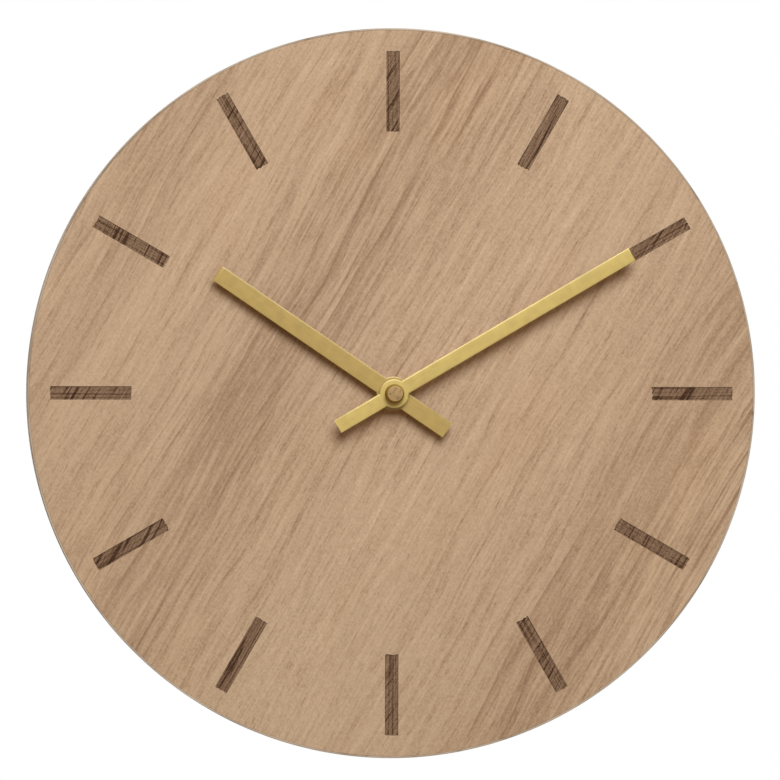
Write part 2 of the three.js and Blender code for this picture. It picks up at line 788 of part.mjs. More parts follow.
// Going train, each wheel on its own arbor between the plate and the case
const arbor = rod(arborRadius, arborBack, arborFront);
placed('rotor_pinion', joined([
  arbor,
  toothed(rotorPinionTeeth, intermediateModule, rotorPinionPhase, intermediateLevel, pinionProud),
]), whitePlastic, rotorAxis);
placed('rotor_magnet',
  ring(magnetRadius, arborRadius + pivotGap, magnetBack, magnetBack + magnetThickness), magnet, rotorAxis);
placed('intermediate_wheel', joined([
  arbor,
  toothed(intermediateTeeth, intermediateModule, intermediatePhase, intermediateLevel),
  toothed(intermediatePinionTeeth, secondModule, intermediatePinionPhase, secondLevel, pinionProud),
]), whitePlastic, intermediateAxis);
placed('third_wheel', joined([
  arbor,
  toothed(thirdTeeth, thirdModule, thirdPhase, thirdLevel),
  toothed(thirdPinionTeeth, centreModule, thirdPinionPhase, centreLevel, pinionProud),
]), whitePlastic, thirdAxis);

// The second wheel's front pivot turns in the hollow end of the minute arbor
const shaftAxis = new THREE.Vector2();
const minuteArborBack = levelBack(centreLevel) - pinionProud;
const secondNeckFront = levelFront(thirdLevel) + pinionProud;
placed('second_wheel', joined([
  rod(arborRadius, arborBack, secondNeckFront),
  rod(secondPivotRadius, arborBack, minuteArborBack + secondPivotLength),
  toothed(secondTeeth, secondModule, secondPhase, secondLevel),
  toothed(secondPinionTeeth, thirdModule, secondPinionPhase, thirdLevel, pinionProud),
]), whitePlastic, shaftAxis);
placed('centre_wheel', joined(
  [toothed(centreTeeth, centreModule, centrePhase, centreLevel)],
  [rod(cannonNeckRadius + pivotGap, 0, frontInner, turnedSides)],
), brass, shaftAxis);

// Motion work
const arborStep = levelFront(motionLevel) + seatGap;
placed('minute_wheel', joined([
  toothed(minuteTeeth, motionModule, minutePhase, motionLevel),
  toothed(minutePinionTeeth, hourModule, minutePinionPhase, hourLevel),
  rod((minutePinionTeeth / 2 - toothDedendum) * hourModule, levelBack(motionLevel), levelFront(hourLevel)),
], [rod(minutePostRadius + pivotGap, 0, caseFront)]), whitePlastic, minuteAxis);
placed('set_arbor', joined([
  rod(setArborRadius, knobBack + knobSocketFloor + seatGap, arborFront),
  toothed(setTeeth, motionModule, setPhase, motionLevel, pinionProud),
]), whitePlastic, setAxis);

function setKnob() {
  const outline = [];
  for (let i = 0; i < 2 * knobKnurls; i++) {
    outline.push(polar(knobRadius - (i % 2) * knobKnurlDepth, (i / knobKnurls) * Math.PI));
  }
  const socket = rod(setArborRadius + pivotGap, knobBack + knobSocketFloor, knobFront + seatGap);
  return joined([slab(outline, knobBack, knobFront)], [socket]);
}
placed('set_knob', setKnob(), whitePlastic, setAxis);

// Hands: a bar with a round hub, drawn towards twelve and turned to its time
function handOutline(width, reach, tail, hubDiameter) {
  const half = width / 2;
  const hub = hubDiameter / 2;
  const open = Math.asin(half / hub);
  const shape = new THREE.Shape();
  shape.moveTo(half, reach);
  shape.lineTo(-half, reach);
  shape.absarc(0, 0, hub, Math.PI / 2 + open, 1.5 * Math.PI - open);
  shape.lineTo(-half, -tail);
  shape.lineTo(half, -tail);
  shape.absarc(0, 0, hub, 1.5 * Math.PI + open, 2.5 * Math.PI - open);
  return shape;
}

function handBar(outline, back) {
  const geometry = new THREE.ExtrudeGeometry(outline, {
    depth: handThickness - 2 * handChamfer,
    bevelThickness: handChamfer,
    bevelSize: handChamfer,
    bevelOffset: -handChamfer,
    bevelSegments: 1,
  });
  return geometry.translate(0, 0, back + handChamfer);
}

const hourGroup = new THREE.Group();
const minuteGroup = new THREE.Group();
hourGroup.rotation.z = THREE.MathUtils.degToRad(-hourAngle);
minuteGroup.rotation.z = THREE.MathUtils.degToRad(-minuteAngle);
clock.add(hourGroup, minuteGroup);

piece(hourGroup, 'hour_hand', joined(
  [handBar(handOutline(hourWidth, hourReach, hourTail, hourHubDiameter), hourHandBack)],
  [rod(hourPipeOuter + runningGap, 0, pinFront, turnedSides)],
), darkGold);
piece(minuteGroup, 'minute_hand', joined(
  [handBar(handOutline(minuteWidth, minuteReach, minuteTail, minuteHubDiameter), minuteHandBack)],
  [rod(minuteArborRadius + runningGap, 0, pinFront, turnedSides)],
), satinGold);
piece(movement, 'hour_wheel', joined([
  toothed(hourTeeth, hourModule, hourPhase, hourLevel),
  rod(hourPipeOuter, levelBack(hourLevel), hourPipeFront, turnedSides),
], [rod(hourPipeInner, 0, pinFront, turnedSides)]), brass);
piece(movement, 'minute_arbor', joined([
  rod(cannonNeckRadius, minuteArborBack, arborStep, turnedSides),
  toothed(cannonTeeth, motionModule, cannonPhase, motionLevel, pinionProud),
  rod(minuteArborRadius, arborStep, minuteArborFront, turnedSides),
], [
  rod(
    secondPivotRadius + pivotGap,
    minuteArborBack - seatGap, minuteArborBack + secondPivotLength + seatGap,
  ),
]), brass);
const pinBore = minuteArborRadius + runningGap;
piece(movement, 'cap_pin', turned([
  [0, pinFront - pinCrown],
  [pinBore, pinFront - pinCrown],
  [pinBore, pinBack],
  [pinDiameter / 2, pinBack],
  [pinDiameter / 2, pinFront - pinTaperDepth],
  [pinDiameter / 2 - pinTaperWidth, pinFront],
  [0, pinFront],
]), brass);

// Stand the dial upright, facing -Y
clock.rotation.x = Math.PI / 2;

export default clock;
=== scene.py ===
import math
import random

import bmesh
import bpy
from mathutils import Matrix, Vector


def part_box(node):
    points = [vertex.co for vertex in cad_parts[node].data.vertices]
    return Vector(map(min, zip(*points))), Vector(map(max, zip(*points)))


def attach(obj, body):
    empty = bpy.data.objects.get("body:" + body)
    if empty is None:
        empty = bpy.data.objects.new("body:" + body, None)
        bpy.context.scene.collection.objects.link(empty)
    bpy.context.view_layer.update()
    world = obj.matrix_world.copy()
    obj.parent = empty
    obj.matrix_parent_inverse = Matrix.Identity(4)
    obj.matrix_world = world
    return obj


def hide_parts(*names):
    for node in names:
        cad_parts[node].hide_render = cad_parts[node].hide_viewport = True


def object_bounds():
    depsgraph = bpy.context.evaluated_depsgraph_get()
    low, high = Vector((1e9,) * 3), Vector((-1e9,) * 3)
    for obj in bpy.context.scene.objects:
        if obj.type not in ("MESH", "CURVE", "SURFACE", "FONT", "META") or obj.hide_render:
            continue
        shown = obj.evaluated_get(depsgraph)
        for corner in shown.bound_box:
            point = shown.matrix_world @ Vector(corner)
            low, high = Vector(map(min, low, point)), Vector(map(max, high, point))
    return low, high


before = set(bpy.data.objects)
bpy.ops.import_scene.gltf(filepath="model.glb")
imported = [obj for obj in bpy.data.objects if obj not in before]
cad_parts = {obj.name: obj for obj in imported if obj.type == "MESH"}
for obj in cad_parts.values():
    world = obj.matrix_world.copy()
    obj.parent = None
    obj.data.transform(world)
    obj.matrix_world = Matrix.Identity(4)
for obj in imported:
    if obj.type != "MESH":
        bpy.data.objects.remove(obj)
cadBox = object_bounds()
scene = bpy.context.scene
scene.view_settings.view_transform = "Standard"
mm = 0.001
tiny = 0.01 * mm  # spots nearer than this are level with each other
fullTurn = 2 * math.pi
hanging = Matrix.Rotation(math.pi / 2, 4, "X")  # from a dial lying face up to one on the wall
print("frame loaded:", len(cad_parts), "nodes")


# a colour as read off a colour dialog, 0 to 255, turned into linear light
def paint(red, green, blue):
    linear = []
    for value in (red, green, blue):
        share = value / 255
        linear.append(share / 12.92 if share < 0.04045 else ((share + 0.055) / 1.055) ** 2.4)
    return (*linear, 1)


def dimmed(color, share):
    return (*[value * share for value in color[:3]], 1)


def grey(value):
    return (value, value, value, 1)


# shader building
def feed(tree, socket, value):
    if isinstance(value, bpy.types.NodeSocket):
        tree.links.new(value, socket)
    else:
        socket.default_value = value


def addNode(tree, kind, inputs=None, **fields):
    node = tree.nodes.new("ShaderNode" + kind)
    for field, value in fields.items():
        setattr(node, field, value)
    for socket, value in (inputs or {}).items():
        feed(tree, node.inputs[socket], value)
    return node


def setSockets(tree, shader, **sockets):
    for socket, value in sockets.items():
        feed(tree, shader.inputs[socket.replace("_", " ")], value)


def newFinish(name, **sockets):
    finish = bpy.data.materials.new(name)
    finish.use_nodes = True
    shader = finish.node_tree.nodes["Principled BSDF"]
    setSockets(finish.node_tree, shader, **sockets)
    return finish, finish.node_tree, shader


def place(tree, turn=(0, 0, 0)):
    coords = addNode(tree, "TexCoord").outputs["Object"]
    return addNode(tree, "Mapping", {"Vector": coords, "Rotation": turn}).outputs[0]


def squeeze(tree, vector, scale):
    return addNode(tree, "VectorMath", {0: vector, 1: scale}, operation="MULTIPLY").outputs[0]


def fromMiddle(tree, spot, plane):  # distance from the origin, measured in one plane
    flat = squeeze(tree, spot, plane)
    return addNode(tree, "VectorMath", {0: flat}, operation="LENGTH").outputs["Value"]


def noise(tree, vector, scale=1.0, detail=2.0, roughness=0.5):
    inputs = {"Vector": vector, "Scale": scale, "Detail": detail, "Roughness": roughness}
    return addNode(tree, "TexNoise", inputs).outputs[0]


def work(tree, operation, first, second=0.0):
    return addNode(tree, "Math", {0: first, 1: second}, operation=operation).outputs[0]


def addShare(tree, value, share, total):
    return addNode(tree, "Math", {0: value, 1: share, 2: total}, operation="MULTIPLY_ADD").outputs[0]


def levels(tree, value, low, high, toLow=0.0, toHigh=1.0):
    inputs = {"Value": value, "From Min": low, "From Max": high, "To Min": toLow, "To Max": toHigh}
    return addNode(tree, "MapRange", inputs).outputs[0]


def ramp(tree, value, stops):
    node = addNode(tree, "ValToRGB", {"Fac": value})
    points = node.color_ramp.elements
    while len(points) < len(stops):
        points.new(0.5)
    for point, (position, color) in zip(points, stops):
        point.position = position
        point.color = color
    return node.outputs["Color"]


def mixColor(tree, factor, first, second, how="MIX"):  # 6 and 7 are the mix node's colour sockets
    node = addNode(tree, "Mix", {0: factor, 6: first, 7: second}, data_type="RGBA", blend_type=how)
    return node.outputs[2]


def bump(tree, height, strength, distance):
    inputs = {"Height": height, "Strength": strength, "Distance": distance}
    return addNode(tree, "Bump", inputs).outputs[0]


# oak: the sheet's grain leans to the right, with a few broad growth bands across it
oak = {
    "grainAngle": 60,  # degrees from level
    "halfWidth": 160 * mm,
    "bands": [  # millimetres across the sheet from its middle, tone
        (-160, 0.50), (-145, 0.54), (-130, 0.39), (-110, 0.57), (-70, 0.51), (-58, 0.40), (-40, 0.37),
        (-26, 0.48), (-4, 0.53), (13, 0.60), (45, 0.57), (60, 0.54), (84, 0.51), (100, 0.40), (119, 0.33),
        (130, 0.48), (160, 0.50),
    ],
    "tones": [  # dark wood to pale wood
        (0.0, paint(145, 113, 84)), (0.3, paint(171, 140, 110)), (0.5, paint(186, 156, 125)),
        (0.75, paint(199, 170, 138)), (1.0, paint(214, 187, 155)),
    ],
    "pink": paint(190, 154, 124),
    "pinkShare": 0.14,
    "figure": [  # millimetres across the sheet, how strongly the grain shows
        (-160, 0.59), (-141, 0.57), (-121, 0.43), (-101, 0.40), (-81, 0.45), (-61, 0.74), (-41, 0.68),
        (-21, 0.51), (19, 0.40), (59, 0.42), (79, 0.47), (99, 0.48), (119, 0.54), (139, 0.90), (160, 0.90),
    ],
    "figureRise": (0.82, 1.18),  # at the lower and the upper end of the sheet
    "figureShares": {"rings": 0.92, "lines": 1.18, "patches": 0.16},
    "yearShare": -0.72,
    "fine": [  # millimetres across the sheet, how strongly fibres and specks show
        (-160, 0.48), (-141, 0.48), (-121, 0.44), (-101, 0.53), (-81, 0.51), (-61, 0.43), (-41, 0.42),
        (-21, 0.53), (19, 0.64), (39, 0.54), (59, 0.56), (79, 0.56), (99, 0.45), (119, 0.50), (139, 0.46),
        (160, 0.46),
    ],
    "fineShares": {"fibre": 0.88, "speck": 1.10},
    "poreShare": -0.48,
    "poreLevels": (0.6, 0.72),
    "plainTone": (0.42, 0.54), "plainFigure": 0.5, "plainFine": 0.53,  # on a sheet without bands
    "bends": [((9, 9, 5), 6 * mm), ((22, 10, 13), 7 * mm)],  # noise cells in a metre, how far grain strays
    "layers": {  # noise cells in a metre across, through and along the sheet, detail, roughness
        "rings": ((220, 40, 15), 2, 0.6),
        "lines": ((620, 60, 36), 2, 0.6),
        "fibre": ((1900, 500, 75), 2, 0.65),
        "pores": ((2300, 400, 200), 1, 0.5),
        "patches": ((26, 10, 11), 2, 0.5),
        "uneven": ((38, 10, 3), 2, 0.5),
        "wideFade": ((60, 10, 8), 2, 0.5),
        "narrowFade": ((90, 10, 14), 2, 0.5),
    },
    "speckScale": 1050,
    "years": 125, "narrowYears": 337.5,  # growth rings in a metre of sheet
    "narrowShare": 0.6,
    "unevenYears": 5,
    "yearPower": 6,  # a higher power draws thinner lines
    "yearFade": (0.4, 0.68),
    "roughness": (0.72, 0.58),  # between and on the fibres
    "relief": 0.06 * mm,
}


def sheetPlace(tree, seed=0.0):
    lean = math.radians(oak["grainAngle"] - 90)
    flat = place(tree, turn=(0, lean, 0))
    return addNode(tree, "VectorMath", {0: flat, 1: (0, seed, 0)}, operation="ADD").outputs[0]


def bendSheet(tree, sheet):  # x runs across the grain and z along it
    split = addNode(tree, "SeparateXYZ", {"Vector": sheet}).outputs
    wander = 0.0
    for cells, stray in oak["bends"]:
        swing = work(tree, "SUBTRACT", noise(tree, squeeze(tree, sheet, cells)), 0.5)
        wander = addShare(tree, swing, stray, wander)
    across = work(tree, "ADD", split["X"], wander)
    return addNode(tree, "CombineXYZ", {"X": across, "Y": split["Y"], "Z": split["Z"]}).outputs[0]


def grainLayer(tree, bent, name):
    cells, detail, roughness = oak["layers"][name]
    return noise(tree, squeeze(tree, bent, cells), detail=detail, roughness=roughness)


def growth(tree, grain, years, fade):  # a thin dark line at each year, sharp on one side, gone in places
    year = work(tree, "MULTIPLY", grain["uneven"], oak["unevenYears"] * years / oak["years"])
    year = addShare(tree, grain["across"], years, year)
    line = work(tree, "POWER", work(tree, "SUBTRACT", 1.0, work(tree, "FRACT", year)), oak["yearPower"])
    return work(tree, "MULTIPLY", line, levels(tree, grain[fade], *oak["yearFade"]))


def oakGrain(tree, sheet):
    bent = bendSheet(tree, sheet)
    grain = {name: grainLayer(tree, bent, name) for name in oak["layers"]}
    split = addNode(tree, "SeparateXYZ", {"Vector": bent}).outputs
    grain["across"] = split["X"]
    grain["along"] = split["Z"]
    grain["speck"] = noise(tree, sheet, scale=oak["speckScale"], detail=1, roughness=0.7)
    wide = growth(tree, grain, oak["years"], "wideFade")
    narrow = growth(tree, grain, oak["narrowYears"], "narrowFade")
    grain["years"] = addShare(tree, narrow, oak["narrowShare"], wide)
    return grain


def acrossRamp(tree, spread, stops):
    half = oak["halfWidth"]
    return ramp(tree, spread, [(0.5 + spot * mm / (2 * half), grey(value)) for spot, value in stops])


def sumShares(tree, grain, shares, total):  # each layer swings about its middle
    for name, share in shares.items():
        swing = work(tree, "SUBTRACT", grain[name], 0.5)
        total = addShare(tree, swing, share, total)
    return total


def oakTone(tree, grain, banded):
    years = work(tree, "MULTIPLY", grain["years"], oak["yearShare"])
    figure = sumShares(tree, grain, oak["figureShares"], years)
    darkLines = levels(tree, grain["lines"], 0.7, 0.4)  # pores sit in the dark lines
    pores = work(tree, "MULTIPLY", levels(tree, grain["pores"], *oak["poreLevels"]), darkLines)
    fine = sumShares(tree, grain, oak["fineShares"], work(tree, "MULTIPLY", pores, oak["poreShare"]))
    if banded:
        half = oak["halfWidth"]
        spread = levels(tree, grain["across"], -half, half)
        tone = acrossRamp(tree, spread, oak["bands"])
        rise = levels(tree, grain["along"], -half, half, *oak["figureRise"])
        figureStrength = work(tree, "MULTIPLY", acrossRamp(tree, spread, oak["figure"]), rise)
        fineStrength = acrossRamp(tree, spread, oak["fine"])
    else:
        tone = levels(tree, grain["patches"], 0.3, 0.7, *oak["plainTone"])
        figureStrength = oak["plainFigure"]
        fineStrength = oak["plainFine"]
    figure = work(tree, "MULTIPLY", figure, figureStrength)
    fine = work(tree, "MULTIPLY", fine, fineStrength)
    return work(tree, "ADD", tone, work(tree, "ADD", figure, fine)), pores


def oakFinish(name, seed=0.0, banded=True):
    finish, tree, shader = newFinish(name, Specular_IOR_Level=0.25)
    grain = oakGrain(tree, sheetPlace(tree, seed))
    tone, pores = oakTone(tree, grain, banded)
    blush = levels(tree, grain["patches"], 0.5, 0.8, 0, oak["pinkShare"])
    color = mixColor(tree, blush, ramp(tree, tone, oak["tones"]), oak["pink"], "SOFT_LIGHT")
    height = work(tree, "SUBTRACT", grain["fibre"], pores)
    setSockets(tree, shader, Base_Color=color, Normal=bump(tree, height, 0.35, oak["relief"]),
               Roughness=levels(tree, grain["fibre"], 0.2, 0.8, *oak["roughness"]))
    return finish


# the burned bars keep the sheet's grain, with the passes of the burner along each bar
burn = {
    "passCells": (1300, 16, 1), "passLevels": (0.48, 0.66),  # noise cells in a metre across and along a bar
    "passShare": 0.36,
    "charCells": (1700, 1100, 1), "charLevels": (0.35, 0.7),
    "charSwing": (-0.14, 0.20),
    "fibreTone": (0.355, 0.875),
    "streakLevels": (0.56, 0.615),
    "streakShare": -0.43,
    "relief": 0.08 * mm,
    "tones": [
        (0.0, paint(58, 37, 22)), (0.3, paint(92, 65, 45)), (0.6, paint(130, 103, 80)),
        (1.0, paint(160, 132, 106)),
    ],
}


def burnFinish():
    finish, tree, shader = newFinish("burnedOak", Specular_IOR_Level=0.15, Roughness=0.85)
    bent = bendSheet(tree, sheetPlace(tree))
    bar = addNode(tree, "UVMap", uv_map="barMap").outputs[0]
    passes = noise(tree, squeeze(tree, bar, burn["passCells"]), detail=1)
    char = noise(tree, squeeze(tree, bar, burn["charCells"]), detail=2, roughness=0.6)
    streaks = levels(tree, grainLayer(tree, bent, "lines"), *burn["streakLevels"])
    tone = levels(tree, grainLayer(tree, bent, "fibre"), 0.25, 0.75, *burn["fibreTone"])
    tone = addShare(tree, streaks, burn["streakShare"], tone)
    tone = work(tree, "SUBTRACT", tone, levels(tree, passes, *burn["passLevels"], 0, burn["passShare"]))
    tone = work(tree, "SUBTRACT", tone, levels(tree, char, *burn["charLevels"], *burn["charSwing"]))
    setSockets(tree, shader, Base_Color=ramp(tree, tone, burn["tones"]),
               Normal=bump(tree, passes, 0.5, burn["relief"]))
    return finish


oakFace = oakFinish("oakFace")
oakBack = oakFinish("oakBack", seed=0.7, banded=False)
burnedOak = burnFinish()
print("oak finishes ready")


# mesh building, with the dial lying flat and face up
def cleanUp(bm):
    bmesh.ops.remove_doubles(bm, verts=bm.verts, dist=0.0005 * mm)
    bmesh.ops.recalc_face_normals(bm, faces=bm.faces)


def roundEdges(bm, width, segments=3, sharper=30, edges=None):
    limit = math.radians(sharper)
    folds = [edge for edge in (edges or bm.edges) if len(edge.link_faces) == 2]
    chosen = [edge for edge in folds if edge.calc_face_angle() > limit]
    bmesh.ops.bevel(bm, geom=chosen, offset=width, offset_type="OFFSET", segments=segments, profile=0.5,
                    affect="EDGES", clamp_overlap=True, material=-1)


def newVerts(geometry):
    return [item for item in geometry if isinstance(item, bmesh.types.BMVert)]


def newEdges(geometry):
    return [item for item in geometry if isinstance(item, bmesh.types.BMEdge)]


def raiseFaces(bm, faces, rise):  # the faces stay as a floor, with walls up to their lifted copy
    top = newVerts(bmesh.ops.extrude_face_region(bm, geom=faces, use_keep_orig=True)["geom"])
    bmesh.ops.translate(bm, vec=(0, 0, rise), verts=top)
    return top


def arcPoints(centreRadius, centreHeight, radius, fromDegrees, toDegrees, steps=5):
    points = []
    for step in range(steps + 1):
        angle = math.radians(fromDegrees + (toDegrees - fromDegrees) * step / steps)
        points.append((centreRadius + radius * math.cos(angle), centreHeight + radius * math.sin(angle)))
    return points


def turnProfile(bm, points, steps, closed=False):  # radius, height pairs spun about the shaft
    verts = [bm.verts.new((radius, 0, height)) for radius, height in points]
    pairs = list(zip(verts, verts[1:]))
    if closed:
        pairs.append((verts[-1], verts[0]))
    edges = [bm.edges.new(pair) for pair in pairs]
    bmesh.ops.spin(bm, geom=verts + edges, cent=(0, 0, 0), axis=(0, 0, 1), angle=fullTurn, steps=steps,
                   use_merge=True)
    cleanUp(bm)


def toObject(bm, name):
    mesh = bpy.data.meshes.new(name)
    bm.to_mesh(mesh)
    bm.free()
    thing = bpy.data.objects.new(name, mesh)
    scene.collection.objects.link(thing)
    return thing


def lathePiece(name, points, steps=72, closed=False):
    bm = bmesh.new()
    turnProfile(bm, points, steps, closed)
    return toObject(bm, name)


def postCutter(name, radius, back, front, spot=(0, 0), steps=48):
    thing = lathePiece(name, [(0, back), (radius, back), (radius, front), (0, front)], steps)
    thing.data.transform(Matrix.Translation((*spot, 0)))
    return thing


def upright(thing):
    thing.data.transform(hanging)
    return thing


def secondFinish(cutter):  # what it cuts takes the piece's second finish
    cutter.data.polygons.foreach_set("material_index", [1] * len(cutter.data.polygons))
    return cutter


def applyModifiers(thing):
    depsgraph = bpy.context.evaluated_depsgraph_get()
    made = bpy.data.meshes.new_from_object(thing.evaluated_get(depsgraph))
    thing.modifiers.clear()
    thing.data = made


def combine(thing, other, operation="DIFFERENCE"):
    step = thing.modifiers.new("combine", "BOOLEAN")
    step.object = other
    step.operation = operation
    step.solver = "EXACT"
    applyModifiers(thing)
    bpy.data.objects.remove(other)


def shadeByAngle(thing):  # flats stay flat, only the rounded edges roll the light
    thing.data.polygons.foreach_set("use_smooth", [True] * len(thing.data.polygons))
    thing.data.set_sharp_from_angle(angle=math.radians(32))
    weights = thing.modifiers.new("weights", "WEIGHTED_NORMAL")
    weights.keep_sharp = True
    weights.weight = 100
    applyModifiers(thing)


def giveFinishes(thing, finishes):  # each polygon keeps its number in the list
    chosen = [polygon.material_index for polygon in thing.data.polygons]
    thing.data.materials.clear()
    for finish in finishes:
        thing.data.materials.append(finish)
    thing.data.polygons.foreach_set("material_index", chosen)


def mount(thing, body, finishes, stands):  # finish, body and the node that the piece stands for
    giveFinishes(thing, finishes)
    shadeByAngle(thing)
    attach(thing, body)
    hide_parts(stands)


def depths(node):  # how far a node's back and front stand out from the wall
    low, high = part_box(node)
    return -high.y, -low.y


def softRing(name, node, bore, rounding, steps=96, segments=3):  # a flat ring with rounded edges
    back, front = depths(node)
    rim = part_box(node)[1].x
    bm = bmesh.new()
    turnProfile(bm, [(bore, back), (rim, back), (rim, front), (bore, front)], steps, closed=True)
    roundEdges(bm, rounding, segments)
    return upright(toObject(bm, name))


# wooden face with twelve burned bars, and the sheet on the back of the disc
face = {
    "steps": 288,
    "holeRadius": 4.1 * mm,
    "edgeRound": 0.12 * mm,
    "bars": 12,
    "barLength": 33.2 * mm,
    "barWidth": 5.5 * mm,
    "barInset": 9.4 * mm,
    "barDepth": 0.36 * mm,
    "passes": 5,  # furrows of the burner, side by side
    "furrow": 0.07 * mm,
    "ragged": 0.22 * mm,  # how far the ends of a furrow stray
    "seed": 5,
}


def oakSheet(name, node):
    return softRing(name, node, face["holeRadius"], face["edgeRound"], face["steps"], segments=2)


def burnCutter():
    rng = random.Random(face["seed"])
    columns = 2 * face["passes"]
    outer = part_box("edge_band")[1].x - face["barInset"]
    middle = (0, outer - face["barLength"] / 2, depths("front_veneer")[1])
    bm = bmesh.new()
    for bar in range(face["bars"]):
        floorVerts = bmesh.ops.create_grid(bm, x_segments=columns, y_segments=1, size=0.5)["verts"]
        bmesh.ops.scale(bm, vec=(face["barWidth"], face["barLength"], 1), verts=floorVerts)
        for vert in floorVerts:
            column = round((vert.co.x / face["barWidth"] + 0.5) * columns)
            vert.co.z = -face["barDepth"] - (column % 2) * face["furrow"]
            vert.co.y += rng.uniform(-1, 1) * face["ragged"]
        top = raiseFaces(bm, list({polygon for vert in floorVerts for polygon in vert.link_faces}), 0)
        for vert in top:
            vert.co.z = face["barDepth"]
        turn = Matrix.Rotation(-bar / face["bars"] * fullTurn, 3, "Z")
        bmesh.ops.translate(bm, vec=middle, verts=floorVerts + top)
        bmesh.ops.rotate(bm, cent=(0, 0, 0), matrix=turn, verts=floorVerts + top)
    bmesh.ops.recalc_face_normals(bm, faces=bm.faces)
    return upright(secondFinish(toObject(bm, "burnCutter")))


def mapBars(thing):  # metres across and along each bar, for the burner's passes
    barMap = thing.data.uv_layers.new(name="barMap")
    step = fullTurn / face["bars"]
    for polygon in thing.data.polygons:
        turn = round(math.atan2(polygon.center.x, polygon.center.z) / step) * step  # of the nearest bar
        for corner in polygon.loop_indices:
            spot = thing.data.vertices[thing.data.loops[corner].vertex_index].co
            sideways = spot.x * math.cos(turn) - spot.z * math.sin(turn)
            outward = spot.x * math.sin(turn) + spot.z * math.cos(turn)
            barMap.data[corner].uv = (sideways + turn, outward)


def burnedFace():
    thing = oakSheet("oak_face", "front_veneer")
    giveFinishes(thing, [oakFace, burnedOak])
    combine(thing, burnCutter())
    mapBars(thing)
    print("face cut:", len(thing.data.polygons), "polygons")
    return thing


mount(burnedFace(), "clock_body", [oakFace, burnedOak], "front_veneer")
mount(oakSheet("oak_back", "back_veneer"), "clock_body", [oakBack], "back_veneer")

# strip of oak glued round the rim, its grain running along the strip
strip = {
    "round": 0.22 * mm,
    "glue": 0.01 * mm,  # between the board and the strip
    "fibreCells": (900, 900, 30),  # noise cells in a metre out, through and along the strip
    "poreCells": (1500, 1500, 130),
    "poreShare": -0.3,
    "notchCells": (60, 60, 220), "notchLevels": (0.62, 0.72),
    "notchShare": -0.35,
    "roughness": (0.75, 0.6),
    "relief": 0.08 * mm,
    "tones": [
        (0.0, paint(134, 113, 92)), (0.35, paint(171, 152, 130)), (0.65, paint(188, 170, 148)),
        (1.0, paint(202, 184, 162)),
    ],
}


def stripFinish():
    finish, tree, shader = newFinish("oakStrip", Specular_IOR_Level=0.25)
    spot = place(tree)
    split = addNode(tree, "SeparateXYZ", {"Vector": spot}).outputs
    out = fromMiddle(tree, spot, (1, 0, 1))
    along = work(tree, "MULTIPLY", work(tree, "ARCTAN2", split["X"], split["Z"]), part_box("edge_band")[1].x)
    sheet = addNode(tree, "CombineXYZ", {"X": out, "Y": split["Y"], "Z": along}).outputs[0]
    fibre = noise(tree, squeeze(tree, sheet, strip["fibreCells"]), detail=3, roughness=0.6)
    pores = noise(tree, squeeze(tree, sheet, strip["poreCells"]), detail=1)
    pores = levels(tree, pores, *oak["poreLevels"])
    notches = noise(tree, squeeze(tree, sheet, strip["notchCells"]), detail=2)
    notches = levels(tree, notches, *strip["notchLevels"])
    tone = addShare(tree, pores, strip["poreShare"], levels(tree, fibre, 0.25, 0.75))
    tone = addShare(tree, notches, strip["notchShare"], tone)
    height = work(tree, "SUBTRACT", fibre, pores)
    setSockets(tree, shader, Base_Color=ramp(tree, tone, strip["tones"]),
               Roughness=levels(tree, fibre, 0.2, 0.8, *strip["roughness"]),
               Normal=bump(tree, height, 0.4, strip["relief"]))
    return finish


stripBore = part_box("disc_core")[1].x + strip["glue"]
rimStrip = softRing("rim_strip", "edge_band", stripBore, strip["round"], face["steps"])
mount(rimStrip, "clock_body", [stripFinish()], "edge_band")
print("disc built")


# metals: fine brushing along one direction, rings where a lathe has faced the piece
# fine counts the noise cells in a metre
def brushedFinish(name, color, roughness, turn=(0, 0, 0), fine=(2400, 2400, 60), wear=0.08, metallic=1.0,
                  gloss=0.5):
    finish, tree, shader = newFinish(name, Metallic=metallic, Specular_IOR_Level=gloss)
    spot = place(tree, turn=turn)
    hairs = noise(tree, squeeze(tree, spot, fine), detail=2, roughness=0.6)
    clouds = noise(tree, spot, scale=fine[0] / 10, detail=3)
    dull = dimmed(color, 1 - 2 * wear)
    tone = mixColor(tree, levels(tree, clouds, 0.35, 0.7), color, dull)
    tone = mixColor(tree, levels(tree, hairs, 0.3, 0.75, 0, 0.35), tone, dull)
    setSockets(tree, shader, Base_Color=tone, Normal=bump(tree, hairs, 0.12, 0.02 * mm),
               Roughness=levels(tree, hairs, 0.25, 0.75, roughness - 0.06, roughness + 0.08))
    return finish


def facedFinish(name, color, roughness, pitch=0.16 * mm):
    finish, tree, shader = newFinish(name, Metallic=1.0)
    spot = place(tree)
    height = addNode(tree, "SeparateXYZ", {"Vector": spot}).outputs["Y"]
    out = fromMiddle(tree, spot, (1, 0, 1))
    lathe = addNode(tree, "CombineXYZ", {"X": out, "Y": height}).outputs[0]
    rings = noise(tree, lathe, scale=1 / pitch, detail=2)
    clouds = noise(tree, spot, scale=400, detail=3)
    tone = mixColor(tree, levels(tree, clouds, 0.35, 0.7), color, dimmed(color, 0.8))
    setSockets(tree, shader, Base_Color=tone, Normal=bump(tree, rings, 0.15, 0.03 * mm),
               Roughness=levels(tree, rings, 0.3, 0.7, roughness - 0.05, roughness + 0.08))
    return finish


